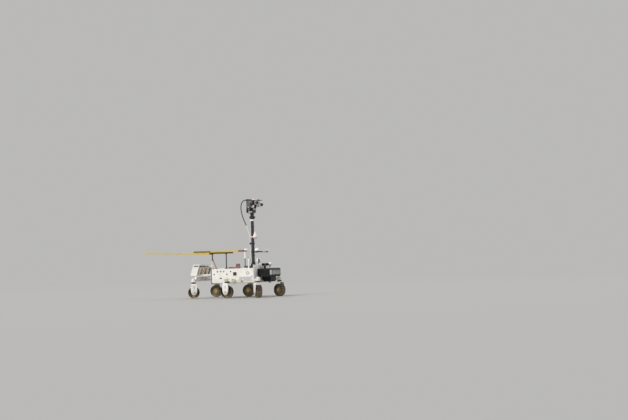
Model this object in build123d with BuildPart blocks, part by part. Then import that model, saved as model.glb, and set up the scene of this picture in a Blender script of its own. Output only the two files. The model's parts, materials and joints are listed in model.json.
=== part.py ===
from build123d import *
import math
import os

# Six-wheeled planetary rover prototype, as a field-test vehicle.
# Millimetres. +X is forward, +Y is the rover's left, +Z is up, and the floor is z = 0.
# The origin is the middle of the whole outline on the floor.

os.makedirs("parts", exist_ok=True)

# Axle places along the rover, counted from the middle axle, which stands at MID_X
MID_X = 557
REAR_AXLE = -758
FRONT_AXLE = 700
TRACK_HALF = 500

# name, X from the middle axle, side (-1 right, +1 left), steering angle as parked
STATIONS = (
    ("front_right", FRONT_AXLE, -1, -50),
    ("front_left", FRONT_AXLE, 1, -24),
    ("mid_right", 0, -1, 0),
    ("mid_left", 0, 1, 0),
    ("rear_right", REAR_AXLE, -1, 32),
    ("rear_left", REAR_AXLE, 1, 18),
)

# Wheels
LUG_TIP_R = 128
RING_R = 121
RING_WALL = 4
LUG_COUNT = 16
LUG_THICK = 8
WHEEL_W = 106
HUB_R = 36
HUB_END = -46
WEB_Y = 31
WEB_T = 4
WEB_DISH = 14
WINDOW_R = 91
SPOKE_COUNT = 6
SPOKE_T = 3
SPOKE_W = 62
SPOKE_Y = 37
AXLE_R = 24
RUN_CLEAR = 0.05
BORE_END = 18
HALF_PITCH = math.pi / LUG_COUNT
AXLE_Z = LUG_TIP_R * math.cos(HALF_PITCH) + LUG_THICK / 2 * math.sin(HALF_PITCH)

# Steering legs: one bent plate, over the wheel and down its outboard side, oval as seen from outboard
PLATE_W = 132
PLATE_T = 18
PLATE_Y = WHEEL_W / 2 + 12
PLATE_WIDE_Z = 190
PLATE_FOOT = 44
PLATE_FOOT_Z = 94
PLATE_BOTTOM = 72
BEND_R = 22
ARM_BOTTOM = 287
ARM_TOP = 302
ARM_END_R = 50
POCKET_DEPTH = 3
POCKET_Z = 222
BOSS_R = 29
BOSS_OUT = 6
COLLAR_R = 47
COLLAR_TOP = 326
SHAFT_R = 15
SHAFT_RISE = 36

# Steering motors
MOTOR_R = 40
MOTOR_BOTTOM = 331
MOTOR_TOP = 414
MOTOR_BORE = 40
SLEEVE_R = 49
SLEEVE_BOTTOM = 338
SLEEVE_TOP = 384
FLANGE_T = 6

# Body box
BODY_REAR = MID_X - 375
BODY_FRONT = MID_X + 560
BODY_MID = (BODY_REAR + BODY_FRONT) / 2
BODY_LEN = BODY_FRONT - BODY_REAR
BODY_HALF_W = 426
BODY_BOTTOM = 300
BODY_TOP = 582
BODY_CUT = 24
SKIN = 4
DECK_TOP = 592
COVER_T = 27
COVER_BACK = BODY_REAR - COVER_T
BULKHEAD_T = 10
BULKHEAD_FRONT = BODY_FRONT + BULKHEAD_T

# Openings in the side panels, by their centres
SLOT_X = MID_X - 172
SLOT_Z = 399
PORT_X = MID_X + 150
PORT_Z = 482
RING_PORT_X = MID_X + 436
RING_PORT_Z = 496

# Payload bolt pattern in the deck, behind the mast
PAYLOAD_X = MID_X - 150
PAYLOAD_Y = 120
PAYLOAD_GRID = 200
PAYLOAD_HOLE_R = 4.5

# Bogies
BEAM_W = 40
WEB_CUT = 9
BEAM_END_BOTTOM = 342
BEAM_END_TOP = 380
BEAM_LOW = 311
BEAM_HIGH = 357
DROP_START = 62
DROP_END = 96
PIVOT_X = MID_X + 350
PIVOT_Z = 344
PIVOT_R = 30
LOCK_X = MID_X + 172
LOCK_Z = 332
LOCK_R = 51
REAR_X = MID_X + REAR_AXLE
REAR_BEAM_LOW = 352
REAR_BEAM_HIGH = 440
REAR_BEAM_HALF = 424
REAR_PIVOT_Z = 392
REAR_PIVOT_R = 32
RIB_PITCH = 72
FIRST_POCKET_Y = 86
REAR_HOLE_ROW = 3
REAR_HOLE_R = 17

# Drill box at the nose, a little left of the middle
NOSE_REAR = BULKHEAD_FRONT
NOSE_FRONT = MID_X + 828
NOSE_MID = (NOSE_REAR + NOSE_FRONT) / 2
NOSE_Y = 15
NOSE_HALF_W = 265
NOSE_BOTTOM = 410
NOSE_TOP = 568
NOSE_LID_T = 8
NOSE_LID_TOP = NOSE_TOP + NOSE_LID_T
CHUCK_BOTTOM = 310
CHUCK_REAR = MID_X + 615
CHUCK_FRONT = MID_X + 800
CHUCK_Y = 5
CHUCK_W = 250
LIGHT_BAR_X = NOSE_FRONT - 38
LIGHT_BAR_R = 9
LIGHT_BAR_HALF = 280

# Instrument cage at the tail: a leaning box that is open to the front
CAGE_REAR = MID_X - 948
CAGE_FRONT = MID_X - 800
CAGE_HALF_W = 280
CAGE_BOTTOM = 462
CAGE_LID_BOTTOM = 618
CAGE_LID_T = 14
CAGE_TOP = 690
CAGE_LEAN = 50
CAGE_SHEET = 6
CAGE_FLOOR_T = 12
FRAME_T = 14
SLOPE = CAGE_LEAN / (CAGE_LID_BOTTOM - CAGE_BOTTOM)

# width, depth of each upright module in the cage, from the right
CAGE_MODULES = ((40, 84), (92, 104), (46, 70), (116, 104), (60, 88), (96, 104), (48, 76))
MODULE_GAP = 5

# Yellow boom over the right deck edge
BOOM_Y = -385
BOOM_W = 70
BOOM_T = 32
BOOM_Z = 926
BOOM_FRONT = MID_X + 346
BOOM_LAP_REAR = MID_X - 785
BOOM_LAP_FRONT = MID_X - 416
BOOM_REAR = MID_X - 1952
BOOM_RISE = 30
TAIL_T = 30
POST_XS = (MID_X - 372, MID_X - 56)
POST_R = 11
POST_SLEEVE_R = 15
POST_SLEEVE_TOP = 756
BOOM_RAIL_T = 28
BRACE_FOOT_X = POST_XS[0] + 88

# Mast and its head
MAST_X = MID_X + 362
MAST_R = 31
MAST_TOP = 1545
FOOT_TOP = 700
FOOT_T = 10
FOOT_R = 42
TOP_RING_H = 34
TOP_RING_R = 47
PAN_DEG = -15
PAN_Z = 1710
PAN_HALF_X = 60
PAN_HALF_Y = 55
TILT_Z = 1775
TILT_PIN_R = 12
YOKE_IN = 66
YOKE_T = 16
YOKE_CROSS = TILT_Z + 95
YOKE_TOP = TILT_Z + 110
BAR_X = 70
BAR_HALF = 198
BAR_BOTTOM = 1955
BAR_T = 14
BAR_TOP = 1985
COVER_TOP = 1993
POD_Y = 158
POD_DROP = 125
POD_LENS_Z = BAR_BOTTOM - POD_DROP + 42
CENTER_DROP = 78
CENTER_LENS_Z = BAR_BOTTOM - 40
GUIDE_X = -115
GUIDE_Y = -20
GUIDE_BLOCK_Z = BAR_BOTTOM + 4
GUIDE_BLOCK_H = 32

# Antennas
ARM_Z = 906
ARM_T = 24
ARM_TOP_Z = ARM_Z + ARM_T
LEFT_ARM_T = 10
ARM_REACH = 120
DOME_REACH = 82
DISC_LEFT = (MAST_X + ARM_REACH, 407, ARM_Z + LEFT_ARM_T)
DISC_RIGHT = (MID_X + 397, -390, 941)
DISC_R = 40
DISC_H = 42
DOME_R = 45
DOME_RIM = 20
DOME_H = 64
DOME_ARC_R = (DOME_R**2 + (DOME_H - DOME_RIM) ** 2) / (2 * (DOME_H - DOME_RIM))
BALL_R = 32
BALL_Z = 89
STALK_R = 11
BALL_DIP = math.sqrt(BALL_R**2 - STALK_R**2)
POLE_X = MID_X + 369
ROD_X = MID_X + 446
ROD_TOP = 796
BELL_X = MAST_X + 82
BELL_Y = -60

# Mast cable: a limp lead with these corners, counted from the mast axis
CABLE_R = 9
STRAPPED_R = 12
CABLE_ROUTE = (
    (-135.6, 15.6, 1975),
    (-197.4, 32.2, 1975),
    (-250, 44, 1932),
    (-274, 46, 1856),
    (-270, 42, 1764),
    (-242, 36, 1664),
    (-204, 28, 1566),
    (-146, 18, 1462),
    (-102, 8, 1352),
    (-70, 2, 1256),
    (-56, 0, 1170),
    (-56, 0, 1102),
)
STRAP_X = -56
STRAP_Z = 1102
STRAP_H = 30
GLAND_X = -104
GLAND_Y = -4
GLAND_H = 22
STRAPPED_ROUTE = (
    (STRAP_X, 0, STRAP_Z - STRAP_H),
    (STRAP_X, 0, 800),
    (GLAND_X, GLAND_Y, 700),
    (GLAND_X, GLAND_Y, DECK_TOP + GLAND_H),
)


def save(part, name):
    part.label = name
    export_step(part, f"parts/{name}.step")


def station_place(x, side, steer):
    turn = steer if side < 0 else steer + 180
    return Location((MID_X + x, side * TRACK_HALF, 0), (0, 0, turn))


def corner_radii(points):
    """Each corner's arc radius: 0.45 of the shorter run beside it over the tangent of half the turn."""
    radii = []
    for a, b, c in zip(points, points[1:], points[2:]):
        run_in = Vector(*b) - Vector(*a)
        run_out = Vector(*c) - Vector(*b)
        half_turn = math.radians(run_in.get_angle(run_out)) / 2
        radii.append(0.45 * min(run_in.length, run_out.length) / math.tan(half_turn))
    return radii


def cable_tube(route, radius, name):
    points = [(MAST_X + x, y, z) for x, y, z in route]
    radii = corner_radii(points)
    with BuildPart() as tube:
        with BuildLine() as path:
            FilletPolyline(*points, radius=radii)
        with BuildSketch(Plane(origin=path.line @ 0, z_dir=path.line % 0)):
            Circle(radius)
        sweep()
    length = sum(edge.length for edge in path.edges())
    ratio = tube.part.volume / (length * math.pi * radius**2)
    print(name, "radii", [round(r) for r in radii], "length", round(length), "volume ratio", round(ratio, 4))
    save(tube.part, name)


# Wheel ring: thin metal drum with crosswise lugs, axle along Y, one lug gap centred on the floor
with BuildPart() as ring:
    with BuildSketch(Plane.XZ.offset(-WHEEL_W / 2)):
        Circle(RING_R)
        Circle(RING_R - RING_WALL, mode=Mode.SUBTRACT)
    extrude(amount=WHEEL_W)
    with BuildSketch(Plane.XZ.offset(-WHEEL_W / 2)):
        with PolarLocations((RING_R + LUG_TIP_R) / 2 - 1, LUG_COUNT, start_angle=90 + 180 / LUG_COUNT):
            Rectangle(LUG_TIP_R - RING_R + 2, LUG_THICK)
    extrude(amount=WHEEL_W)

# Wheel hub: dished web on the inboard side with six windows, a barrel with a blind bore for the
# axle, and curved leaf spokes that spring the ring on the outboard side
with BuildPart() as hub:
    with BuildSketch(Plane.XY):
        with BuildLine():
            Polyline(
                (0, WEB_Y + WEB_DISH),
                (HUB_R + 6, WEB_Y + WEB_DISH),
                (HUB_R + 28, WEB_Y),
                (RING_R - RING_WALL, WEB_Y),
                (RING_R - RING_WALL, WEB_Y - WEB_T),
                (HUB_R + 26, WEB_Y - WEB_T),
                (HUB_R, WEB_Y + WEB_DISH - WEB_T - 4),
                (HUB_R, HUB_END),
                (AXLE_R + RUN_CLEAR, HUB_END),
                (AXLE_R + RUN_CLEAR, BORE_END),
                (0, BORE_END),
                close=True,
            )
        make_face()
    revolve(axis=Axis.Y)
    with BuildSketch(Plane.XZ.offset(-WEB_Y - 1)):
        with PolarLocations(0, SPOKE_COUNT, start_angle=180 / SPOKE_COUNT):
            with Locations((WINDOW_R, 0)):
                Trapezoid(44, 24, 70, rotation=-90)
    extrude(amount=WEB_T + 2, mode=Mode.SUBTRACT)
    with BuildSketch(Plane.XZ.offset(SPOKE_Y)):
        with PolarLocations(0, SPOKE_COUNT):
            with BuildLine():
                leaf = ThreePointArc((HUB_R - 3, 0), (82, 30), (RING_R, -8))
                offset(leaf, amount=SPOKE_T / 2, side=Side.BOTH)
            make_face()
    extrude(amount=-SPOKE_W)
    with BuildSketch(Plane.XZ.offset(-WHEEL_W / 2)):
        Circle(RING_R - RING_WALL)
    extrude(amount=WHEEL_W, mode=Mode.INTERSECT)

# Steering leg, drawn for the right side: bent plate with a pocketed face, drive boss, collar and shaft
PLATE_FACE = PLATE_Y + PLATE_T
with BuildPart() as leg:
    with BuildSketch(Plane.YZ.offset(-PLATE_W / 2)):
        with BuildLine():
            Polyline(
                (ARM_END_R, ARM_BOTTOM),
                (ARM_END_R, ARM_TOP),
                (-PLATE_FACE, ARM_TOP),
                (-PLATE_FACE, PLATE_BOTTOM),
                (-PLATE_Y, PLATE_BOTTOM),
                (-PLATE_Y, ARM_BOTTOM),
                close=True,
            )
        make_face()
        fillet(vertices().group_by(Axis.X)[0].sort_by(Axis.Y)[-1], radius=BEND_R)
    extrude(amount=PLATE_W)
    with BuildSketch(Plane.XZ.offset(-ARM_END_R)):
        with BuildLine():
            ThreePointArc((-ARM_END_R, ARM_TOP), (-PLATE_W / 2, PLATE_WIDE_Z), (-PLATE_FOOT, PLATE_FOOT_Z))
            ThreePointArc((-PLATE_FOOT, PLATE_FOOT_Z), (0, PLATE_BOTTOM), (PLATE_FOOT, PLATE_FOOT_Z))
            ThreePointArc((PLATE_FOOT, PLATE_FOOT_Z), (PLATE_W / 2, PLATE_WIDE_Z), (ARM_END_R, ARM_TOP))
            Line((ARM_END_R, ARM_TOP), (-ARM_END_R, ARM_TOP))
        make_face()
    extrude(amount=ARM_END_R + PLATE_FACE, mode=Mode.INTERSECT)
    with BuildSketch(Plane.XY):
        Circle(ARM_END_R)
        with Locations((0, -PLATE_FACE / 2)):
            Rectangle(PLATE_W, PLATE_FACE)
    extrude(amount=ARM_TOP, mode=Mode.INTERSECT)
    with BuildSketch(Plane.XZ.offset(PLATE_FACE - POCKET_DEPTH)):
        with Locations((0, POCKET_Z)):
            SlotOverall(74, 40, rotation=90)
        with Locations((0, AXLE_Z)):
            Circle(BOSS_R + 9)
            Circle(BOSS_R, mode=Mode.SUBTRACT)
    extrude(amount=POCKET_DEPTH + 1, mode=Mode.SUBTRACT)
    with BuildSketch(Plane.XZ.offset(PLATE_FACE)):
        with Locations((0, AXLE_Z)):
            Circle(BOSS_R)
    extrude(amount=BOSS_OUT)
    with BuildSketch(Plane.XY.offset(ARM_TOP)):
        Circle(COLLAR_R)
    extrude(amount=COLLAR_TOP - ARM_TOP)
    with BuildSketch(Plane.XY.offset(COLLAR_TOP)):
        Circle(SHAFT_R)
    extrude(amount=SHAFT_RISE)
    with BuildSketch(Plane.XZ.offset(PLATE_Y)):
        with Locations((0, AXLE_Z)):
            Circle(AXLE_R)
    extrude(amount=-PLATE_Y - 6)

# Steering motor: fixed housing with a seat flange and a stepped, tapering cap
BORE_R = SHAFT_R + RUN_CLEAR
with BuildPart() as motor:
    with BuildSketch(Plane.XZ):
        with BuildLine():
            Polyline(
                (BORE_R, MOTOR_BOTTOM),
                (MOTOR_R, MOTOR_BOTTOM),
                (MOTOR_R, SLEEVE_TOP),
                (SLEEVE_R, SLEEVE_TOP),
                (SLEEVE_R, SLEEVE_TOP + FLANGE_T),
                (MOTOR_R - 3, SLEEVE_TOP + FLANGE_T),
                (MOTOR_R - 7, MOTOR_TOP - 10),
                (MOTOR_R - 16, MOTOR_TOP),
                (0, MOTOR_TOP),
                (0, MOTOR_BOTTOM + MOTOR_BORE),
                (BORE_R, MOTOR_BOTTOM + MOTOR_BORE),
                close=True,
            )
        make_face()
    revolve(axis=Axis.Z)

motors = []
for name, x, side, steer in STATIONS:
    place = station_place(x, side, steer)
    wheel_place = place * Location((0, 0, AXLE_Z))
    save(ring.part.moved(wheel_place), f"wheel_ring_{name}")
    save(hub.part.moved(wheel_place), f"wheel_hub_{name}")
    save(leg.part.moved(place), f"steer_leg_{name}")
    motors.append(motor.part.moved(Location((MID_X + x, side * TRACK_HALF, 0))))
save(Compound(children=motors), "steer_motors")

# Side bogies: a low straight beam that steps up to a clamp sleeve at each end, with a pivot boss
# against the body and a round lock housing near the middle wheel
FRONT_X = MID_X + FRONT_AXLE
BEAM_DEPTH = BEAM_HIGH - BEAM_LOW
WEB_FRAME = 9
# centre from the pivot and width of each pocket in the beam's web
WEB_POCKETS = ((-76, 72), (66, 60), (142, 72), (218, 60))
for side_name, side in (("right", -1), ("left", 1)):
    ends = ((MID_X, side * TRACK_HALF), (FRONT_X, side * TRACK_HALF))
    outer = side * (TRACK_HALF + BEAM_W / 2)
    with BuildPart() as bogie:
        with BuildSketch(Plane.XZ.offset(-side * TRACK_HALF - BEAM_W / 2)):
            with BuildLine():
                Polyline(
                    (MID_X + 30, BEAM_END_BOTTOM),
                    (MID_X + DROP_START, BEAM_END_BOTTOM),
                    (MID_X + DROP_END, BEAM_LOW),
                    (FRONT_X - DROP_END, BEAM_LOW),
                    (FRONT_X - DROP_START, BEAM_END_BOTTOM),
                    (FRONT_X - 30, BEAM_END_BOTTOM),
                    (FRONT_X - 30, BEAM_END_TOP),
                    (FRONT_X - DROP_START, BEAM_END_TOP),
                    (FRONT_X - DROP_END - 30, BEAM_HIGH),
                    (MID_X + DROP_END + 30, BEAM_HIGH),
                    (MID_X + DROP_START, BEAM_END_TOP),
                    (MID_X + 30, BEAM_END_TOP),
                    close=True,
                )
            make_face()
        extrude(amount=BEAM_W)
        for web_side in (0, 1):
            with BuildSketch(Plane.XZ.offset(-side * TRACK_HALF - BEAM_W / 2 + web_side * (BEAM_W - WEB_CUT))):
                for x, width in WEB_POCKETS:
                    with Locations((PIVOT_X + x, BEAM_LOW + BEAM_DEPTH / 2)):
                        Rectangle(width, BEAM_DEPTH - 2 * WEB_FRAME)
            extrude(amount=WEB_CUT, mode=Mode.SUBTRACT)
        with BuildSketch(Plane.XY.offset(SLEEVE_BOTTOM)):
            with Locations(*ends):
                Circle(SLEEVE_R)
        extrude(amount=SLEEVE_TOP - SLEEVE_BOTTOM)
        with BuildSketch(Plane.XZ.offset(-side * BODY_HALF_W)):
            with Locations((PIVOT_X, PIVOT_Z)):
                Circle(PIVOT_R)
        extrude(amount=side * BODY_HALF_W - outer - side * 12)
        with BuildSketch(Plane.XZ.offset(-outer + side * 12)):
            with Locations((LOCK_X, LOCK_Z)):
                Circle(LOCK_R)
        extrude(amount=-side * 28)
        with BuildSketch(Plane.XZ.offset(-outer - side * 16)):
            with Locations((LOCK_X, LOCK_Z)):
                Circle(LOCK_R - 16)
        extrude(amount=-side * 10)
        with BuildSketch(Plane.XY.offset(SLEEVE_BOTTOM)):
            with Locations(*ends):
                Circle(MOTOR_R + RUN_CLEAR)
        extrude(amount=SLEEVE_TOP - SLEEVE_BOTTOM, mode=Mode.SUBTRACT)
    save(bogie.part, f"bogie_{side_name}")

# Rear bogie: a deep ribbed cross beam with a sleeve at each end, rocking on a tube from the body's back
POCKET_H = REAR_BEAM_HIGH - REAR_BEAM_LOW - 26
REAR_POCKET_Z = (REAR_BEAM_LOW + REAR_BEAM_HIGH) / 2
RIB_T = 12
with BuildPart() as rear_bogie:
    with BuildSketch(Plane.YZ.offset(REAR_X - BEAM_W / 2)):
        with BuildLine():
            Polyline(
                (-TRACK_HALF + 30, BEAM_END_BOTTOM),
                (-REAR_BEAM_HALF - 14, BEAM_END_BOTTOM),
                (-REAR_BEAM_HALF, REAR_BEAM_LOW),
                (REAR_BEAM_HALF, REAR_BEAM_LOW),
                (REAR_BEAM_HALF + 14, BEAM_END_BOTTOM),
                (TRACK_HALF - 30, BEAM_END_BOTTOM),
                (TRACK_HALF - 30, BEAM_END_TOP),
                (REAR_BEAM_HALF + 14, BEAM_END_TOP),
                (REAR_BEAM_HALF - 26, REAR_BEAM_HIGH),
                (-REAR_BEAM_HALF + 26, REAR_BEAM_HIGH),
                (-REAR_BEAM_HALF - 14, BEAM_END_TOP),
                (-TRACK_HALF + 30, BEAM_END_TOP),
                close=True,
            )
        make_face()
    extrude(amount=BEAM_W)
    for web_x in (REAR_X - BEAM_W / 2, REAR_X + BEAM_W / 2 - WEB_CUT):
        with BuildSketch(Plane.YZ.offset(web_x)):
            for row in range(REAR_HOLE_ROW):
                y = FIRST_POCKET_Y + row * RIB_PITCH
                with Locations((-y, REAR_POCKET_Z), (y, REAR_POCKET_Z)):
                    Rectangle(RIB_PITCH - RIB_T, POCKET_H)
        extrude(amount=WEB_CUT, mode=Mode.SUBTRACT)
    with BuildSketch(Plane.YZ.offset(REAR_X - BEAM_W / 2)):
        hole_y = FIRST_POCKET_Y + REAR_HOLE_ROW * RIB_PITCH
        with Locations((-hole_y, REAR_PIVOT_Z), (hole_y, REAR_PIVOT_Z)):
            Circle(REAR_HOLE_R)
    extrude(amount=BEAM_W, mode=Mode.SUBTRACT)
    with BuildSketch(Plane.XY.offset(SLEEVE_BOTTOM)):
        with Locations((REAR_X, -TRACK_HALF), (REAR_X, TRACK_HALF)):
            Circle(SLEEVE_R)
    extrude(amount=SLEEVE_TOP - SLEEVE_BOTTOM)
    with BuildSketch(Plane.XY.offset(SLEEVE_BOTTOM)):
        with Locations((REAR_X, -TRACK_HALF), (REAR_X, TRACK_HALF)):
            Circle(MOTOR_R + RUN_CLEAR)
    extrude(amount=SLEEVE_TOP - SLEEVE_BOTTOM, mode=Mode.SUBTRACT)
save(rear_bogie.part, "bogie_rear")

PIVOT_FLANGE_T = 12
with BuildPart() as rear_pivot:
    with BuildSketch(Plane.YZ.offset(REAR_X + BEAM_W / 2)):
        with Locations((0, REAR_PIVOT_Z)):
            Circle(REAR_PIVOT_R)
    extrude(amount=COVER_BACK - REAR_X - BEAM_W / 2)
    with BuildSketch(Plane.YZ.offset(COVER_BACK - PIVOT_FLANGE_T)):
        with Locations((0, REAR_PIVOT_Z)):
            Circle(REAR_PIVOT_R + 22)
    extrude(amount=PIVOT_FLANGE_T)
save(rear_pivot.part, "rear_pivot_tube")

# Body: closed box, with screwed-on side panels, a deck plate, a dark back cover and a front bulkhead
side_outline = (
    (BODY_REAR + BODY_CUT, BODY_BOTTOM),
    (BODY_FRONT - BODY_CUT, BODY_BOTTOM),
    (BODY_FRONT, BODY_BOTTOM + BODY_CUT),
    (BODY_FRONT, BODY_TOP),
    (BODY_REAR, BODY_TOP),
    (BODY_REAR, BODY_BOTTOM + BODY_CUT),
)
with BuildPart() as chassis:
    with BuildSketch(Plane.XZ.offset(-BODY_HALF_W + SKIN)):
        Polygon(*side_outline, align=None)
    extrude(amount=2 * (BODY_HALF_W - SKIN))
    with BuildSketch(Plane.XY.offset(BODY_TOP)):
        with Locations((PAYLOAD_X, PAYLOAD_Y)):
            with GridLocations(PAYLOAD_GRID, PAYLOAD_GRID, 2, 2):
                Circle(PAYLOAD_HOLE_R)
    extrude(amount=-20, mode=Mode.SUBTRACT)
save(chassis.part, "chassis_box")

with BuildPart() as deck:
    with BuildSketch(Plane.XY.offset(BODY_TOP)):
        with Locations((BODY_MID, 0)):
            RectangleRounded(BODY_LEN, 2 * BODY_HALF_W, 8)
        with Locations((PAYLOAD_X, PAYLOAD_Y)):
            with GridLocations(PAYLOAD_GRID, PAYLOAD_GRID, 2, 2):
                Circle(PAYLOAD_HOLE_R, mode=Mode.SUBTRACT)
    extrude(amount=DECK_TOP - BODY_TOP)
save(deck.part, "deck_plate")

for side_name, side in (("right", -1), ("left", 1)):
    with BuildPart() as panel:
        with BuildSketch(Plane.XZ.offset(-side * (BODY_HALF_W - SKIN))):
            Polygon(*side_outline, align=None)
            with Locations((SLOT_X, SLOT_Z)):
                SlotOverall(54, 24, mode=Mode.SUBTRACT)
            with Locations((PORT_X, PORT_Z)):
                RectangleRounded(78, 74, 9, mode=Mode.SUBTRACT)
        extrude(amount=-side * SKIN)
        with BuildSketch(Plane.XZ.offset(-side * BODY_HALF_W)):
            with Locations((PORT_X, PORT_Z)):
                RectangleRounded(94, 90, 14)
                RectangleRounded(78, 74, 9, mode=Mode.SUBTRACT)
            with Locations((RING_PORT_X, RING_PORT_Z)):
                Circle(34)
                Circle(24, mode=Mode.SUBTRACT)
        extrude(amount=-side * 5)
    save(panel.part, f"side_panel_{side_name}")

COVER_HALF_W = 404
COVER_BOTTOM = 286
FIN_PITCH = 101
with BuildPart() as rear_cover:
    with BuildSketch(Plane.YZ.offset(COVER_BACK)):
        with Locations((0, (COVER_BOTTOM + DECK_TOP) / 2)):
            RectangleRounded(2 * COVER_HALF_W, DECK_TOP - COVER_BOTTOM, 20)
    extrude(amount=COVER_T)
    with BuildSketch(Plane.YZ.offset(COVER_BACK)):
        for lead in (-1, 1):
            for row in (2, 3):
                with Locations((lead * row * FIN_PITCH, (BODY_BOTTOM + DECK_TOP) / 2)):
                    Rectangle(FIN_PITCH - 26, 180)
    extrude(amount=8, mode=Mode.SUBTRACT)
save(rear_cover.part, "rear_cover")

EAR_TOP = 660
EAR_IN = 250
SHOULDER_TOP = 620
REST_Y = -205
REST_Z = 732
REST_R = 55
POST_Y = -88
POST_TOP = 790
with BuildPart() as bulkhead:
    with BuildSketch(Plane.YZ.offset(BODY_FRONT)):
        with BuildLine():
            Polyline(
                (-BODY_HALF_W, BODY_BOTTOM + 12),
                (BODY_HALF_W, BODY_BOTTOM + 12),
                (BODY_HALF_W, EAR_TOP),
                (EAR_IN, EAR_TOP),
                (EAR_IN - 16, SHOULDER_TOP),
                (POST_Y + 14, SHOULDER_TOP),
                (POST_Y + 14, POST_TOP),
                (POST_Y - 14, POST_TOP),
                (POST_Y - 14, SHOULDER_TOP + 16),
                (-EAR_IN + 20, SHOULDER_TOP + 16),
                (-EAR_IN, EAR_TOP),
                (-BODY_HALF_W, EAR_TOP),
                close=True,
            )
        make_face()
    extrude(amount=BULKHEAD_T)
    with BuildSketch(Plane.YZ.offset(BODY_FRONT)):
        with Locations((REST_Y, REST_Z)):
            Circle(REST_R)
        with Locations((REST_Y, (SHOULDER_TOP + REST_Z - REST_R) / 2 + 4)):
            Rectangle(26, REST_Z - REST_R - SHOULDER_TOP + 12)
        with Locations(((REST_Y + POST_Y) / 2 + 20, REST_Z)):
            Rectangle(52, 20)
        with Locations((REST_Y, REST_Z)):
            Circle(REST_R - 11, mode=Mode.SUBTRACT)
    extrude(amount=BULKHEAD_T)
    with BuildSketch(Plane.YZ.offset(BODY_FRONT + BULKHEAD_T)):
        with Locations((REST_Y, REST_Z)):
            Circle(REST_R)
            Circle(REST_R - 11, mode=Mode.SUBTRACT)
    extrude(amount=14)
save(bulkhead.part, "front_bulkhead")

# Drill box at the nose: housing under an overhanging lid, and the chuck housing with its bit below
with BuildPart() as nose:
    with BuildSketch(Plane.XY.offset(NOSE_BOTTOM)):
        with Locations((NOSE_MID, NOSE_Y)):
            Rectangle(NOSE_FRONT - NOSE_REAR, 2 * NOSE_HALF_W)
    extrude(amount=NOSE_TOP - NOSE_BOTTOM)
    chamfer(nose.edges().filter_by(Axis.Z).group_by(Axis.X)[-1], length=9)
    chamfer(nose.edges().filter_by(Axis.Y).group_by(Axis.Z)[0].sort_by(Axis.X)[-1], length=12)
save(nose.part, "drill_box")

with BuildPart() as nose_lid:
    with BuildSketch(Plane.XY.offset(NOSE_TOP)):
        with Locations((NOSE_MID + 2, NOSE_Y)):
            RectangleRounded(NOSE_FRONT - NOSE_REAR - 2, 2 * NOSE_HALF_W + 10, 10)
    extrude(amount=NOSE_LID_T)
save(nose_lid.part, "drill_lid")

with BuildPart() as chuck:
    with BuildSketch(Plane.XZ.offset(-CHUCK_Y - CHUCK_W / 2)):
        with BuildLine():
            Polyline(
                (CHUCK_REAR, NOSE_BOTTOM),
                (CHUCK_FRONT, NOSE_BOTTOM),
                (CHUCK_FRONT, CHUCK_BOTTOM + 32),
                (CHUCK_FRONT - 26, CHUCK_BOTTOM),
                (CHUCK_REAR + 34, CHUCK_BOTTOM),
                (CHUCK_REAR, CHUCK_BOTTOM + 44),
                close=True,
            )
        make_face()
    extrude(amount=CHUCK_W)
    with BuildSketch(Plane.XY.offset(CHUCK_BOTTOM)):
        with Locations((CHUCK_FRONT - 80, CHUCK_Y)):
            Circle(30)
    extrude(amount=-14)
save(chuck.part, "drill_chuck")

PLATE_MID_Z = 498
with BuildPart() as nose_plate:
    with BuildSketch(Plane.YZ.offset(NOSE_FRONT)):
        with Locations((NOSE_Y, PLATE_MID_Z)):
            RectangleRounded(2 * NOSE_HALF_W - 26, 112, 6)
    extrude(amount=3)
with BuildPart() as light_bar:
    with BuildSketch(Plane.XZ.offset(-NOSE_Y - LIGHT_BAR_HALF)):
        with Locations((LIGHT_BAR_X, NOSE_LID_TOP + 10 + LIGHT_BAR_R)):
            Circle(LIGHT_BAR_R)
    extrude(amount=2 * LIGHT_BAR_HALF)
    with BuildSketch(Plane.XY.offset(NOSE_LID_TOP)):
        with Locations((LIGHT_BAR_X, NOSE_Y - 200), (LIGHT_BAR_X, NOSE_Y), (LIGHT_BAR_X, NOSE_Y + 200)):
            Rectangle(12, 16)
    extrude(amount=10 + LIGHT_BAR_R)
save(Compound(children=[nose_plate.part, light_bar.part]), "drill_face_plate")

# Instrument cage: floor on two arms, leaning end plates that carry a top frame, a leaning back,
# a lid with its boxes, and a row of upright modules
CAGE_INNER = CAGE_HALF_W - CAGE_SHEET
CAGE_FLOOR_TOP = CAGE_BOTTOM + CAGE_FLOOR_T
CAGE_LID_TOP = CAGE_LID_BOTTOM + CAGE_LID_T
ARM_W = 36
ARM_Y = 150
with BuildPart() as cage_floor:
    with BuildSketch(Plane.XY.offset(CAGE_BOTTOM)):
        with Locations(((CAGE_REAR + CAGE_FRONT) / 2, 0)):
            Rectangle(CAGE_FRONT - CAGE_REAR, 2 * CAGE_INNER)
    extrude(amount=CAGE_FLOOR_T)
    with BuildSketch(Plane.XY.offset(CAGE_BOTTOM)):
        with Locations(((CAGE_FRONT + COVER_BACK) / 2, -ARM_Y), ((CAGE_FRONT + COVER_BACK) / 2, ARM_Y)):
            Rectangle(COVER_BACK - CAGE_FRONT, ARM_W)
    extrude(amount=2 * CAGE_FLOOR_T)
save(cage_floor.part, "cage_floor")

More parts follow.
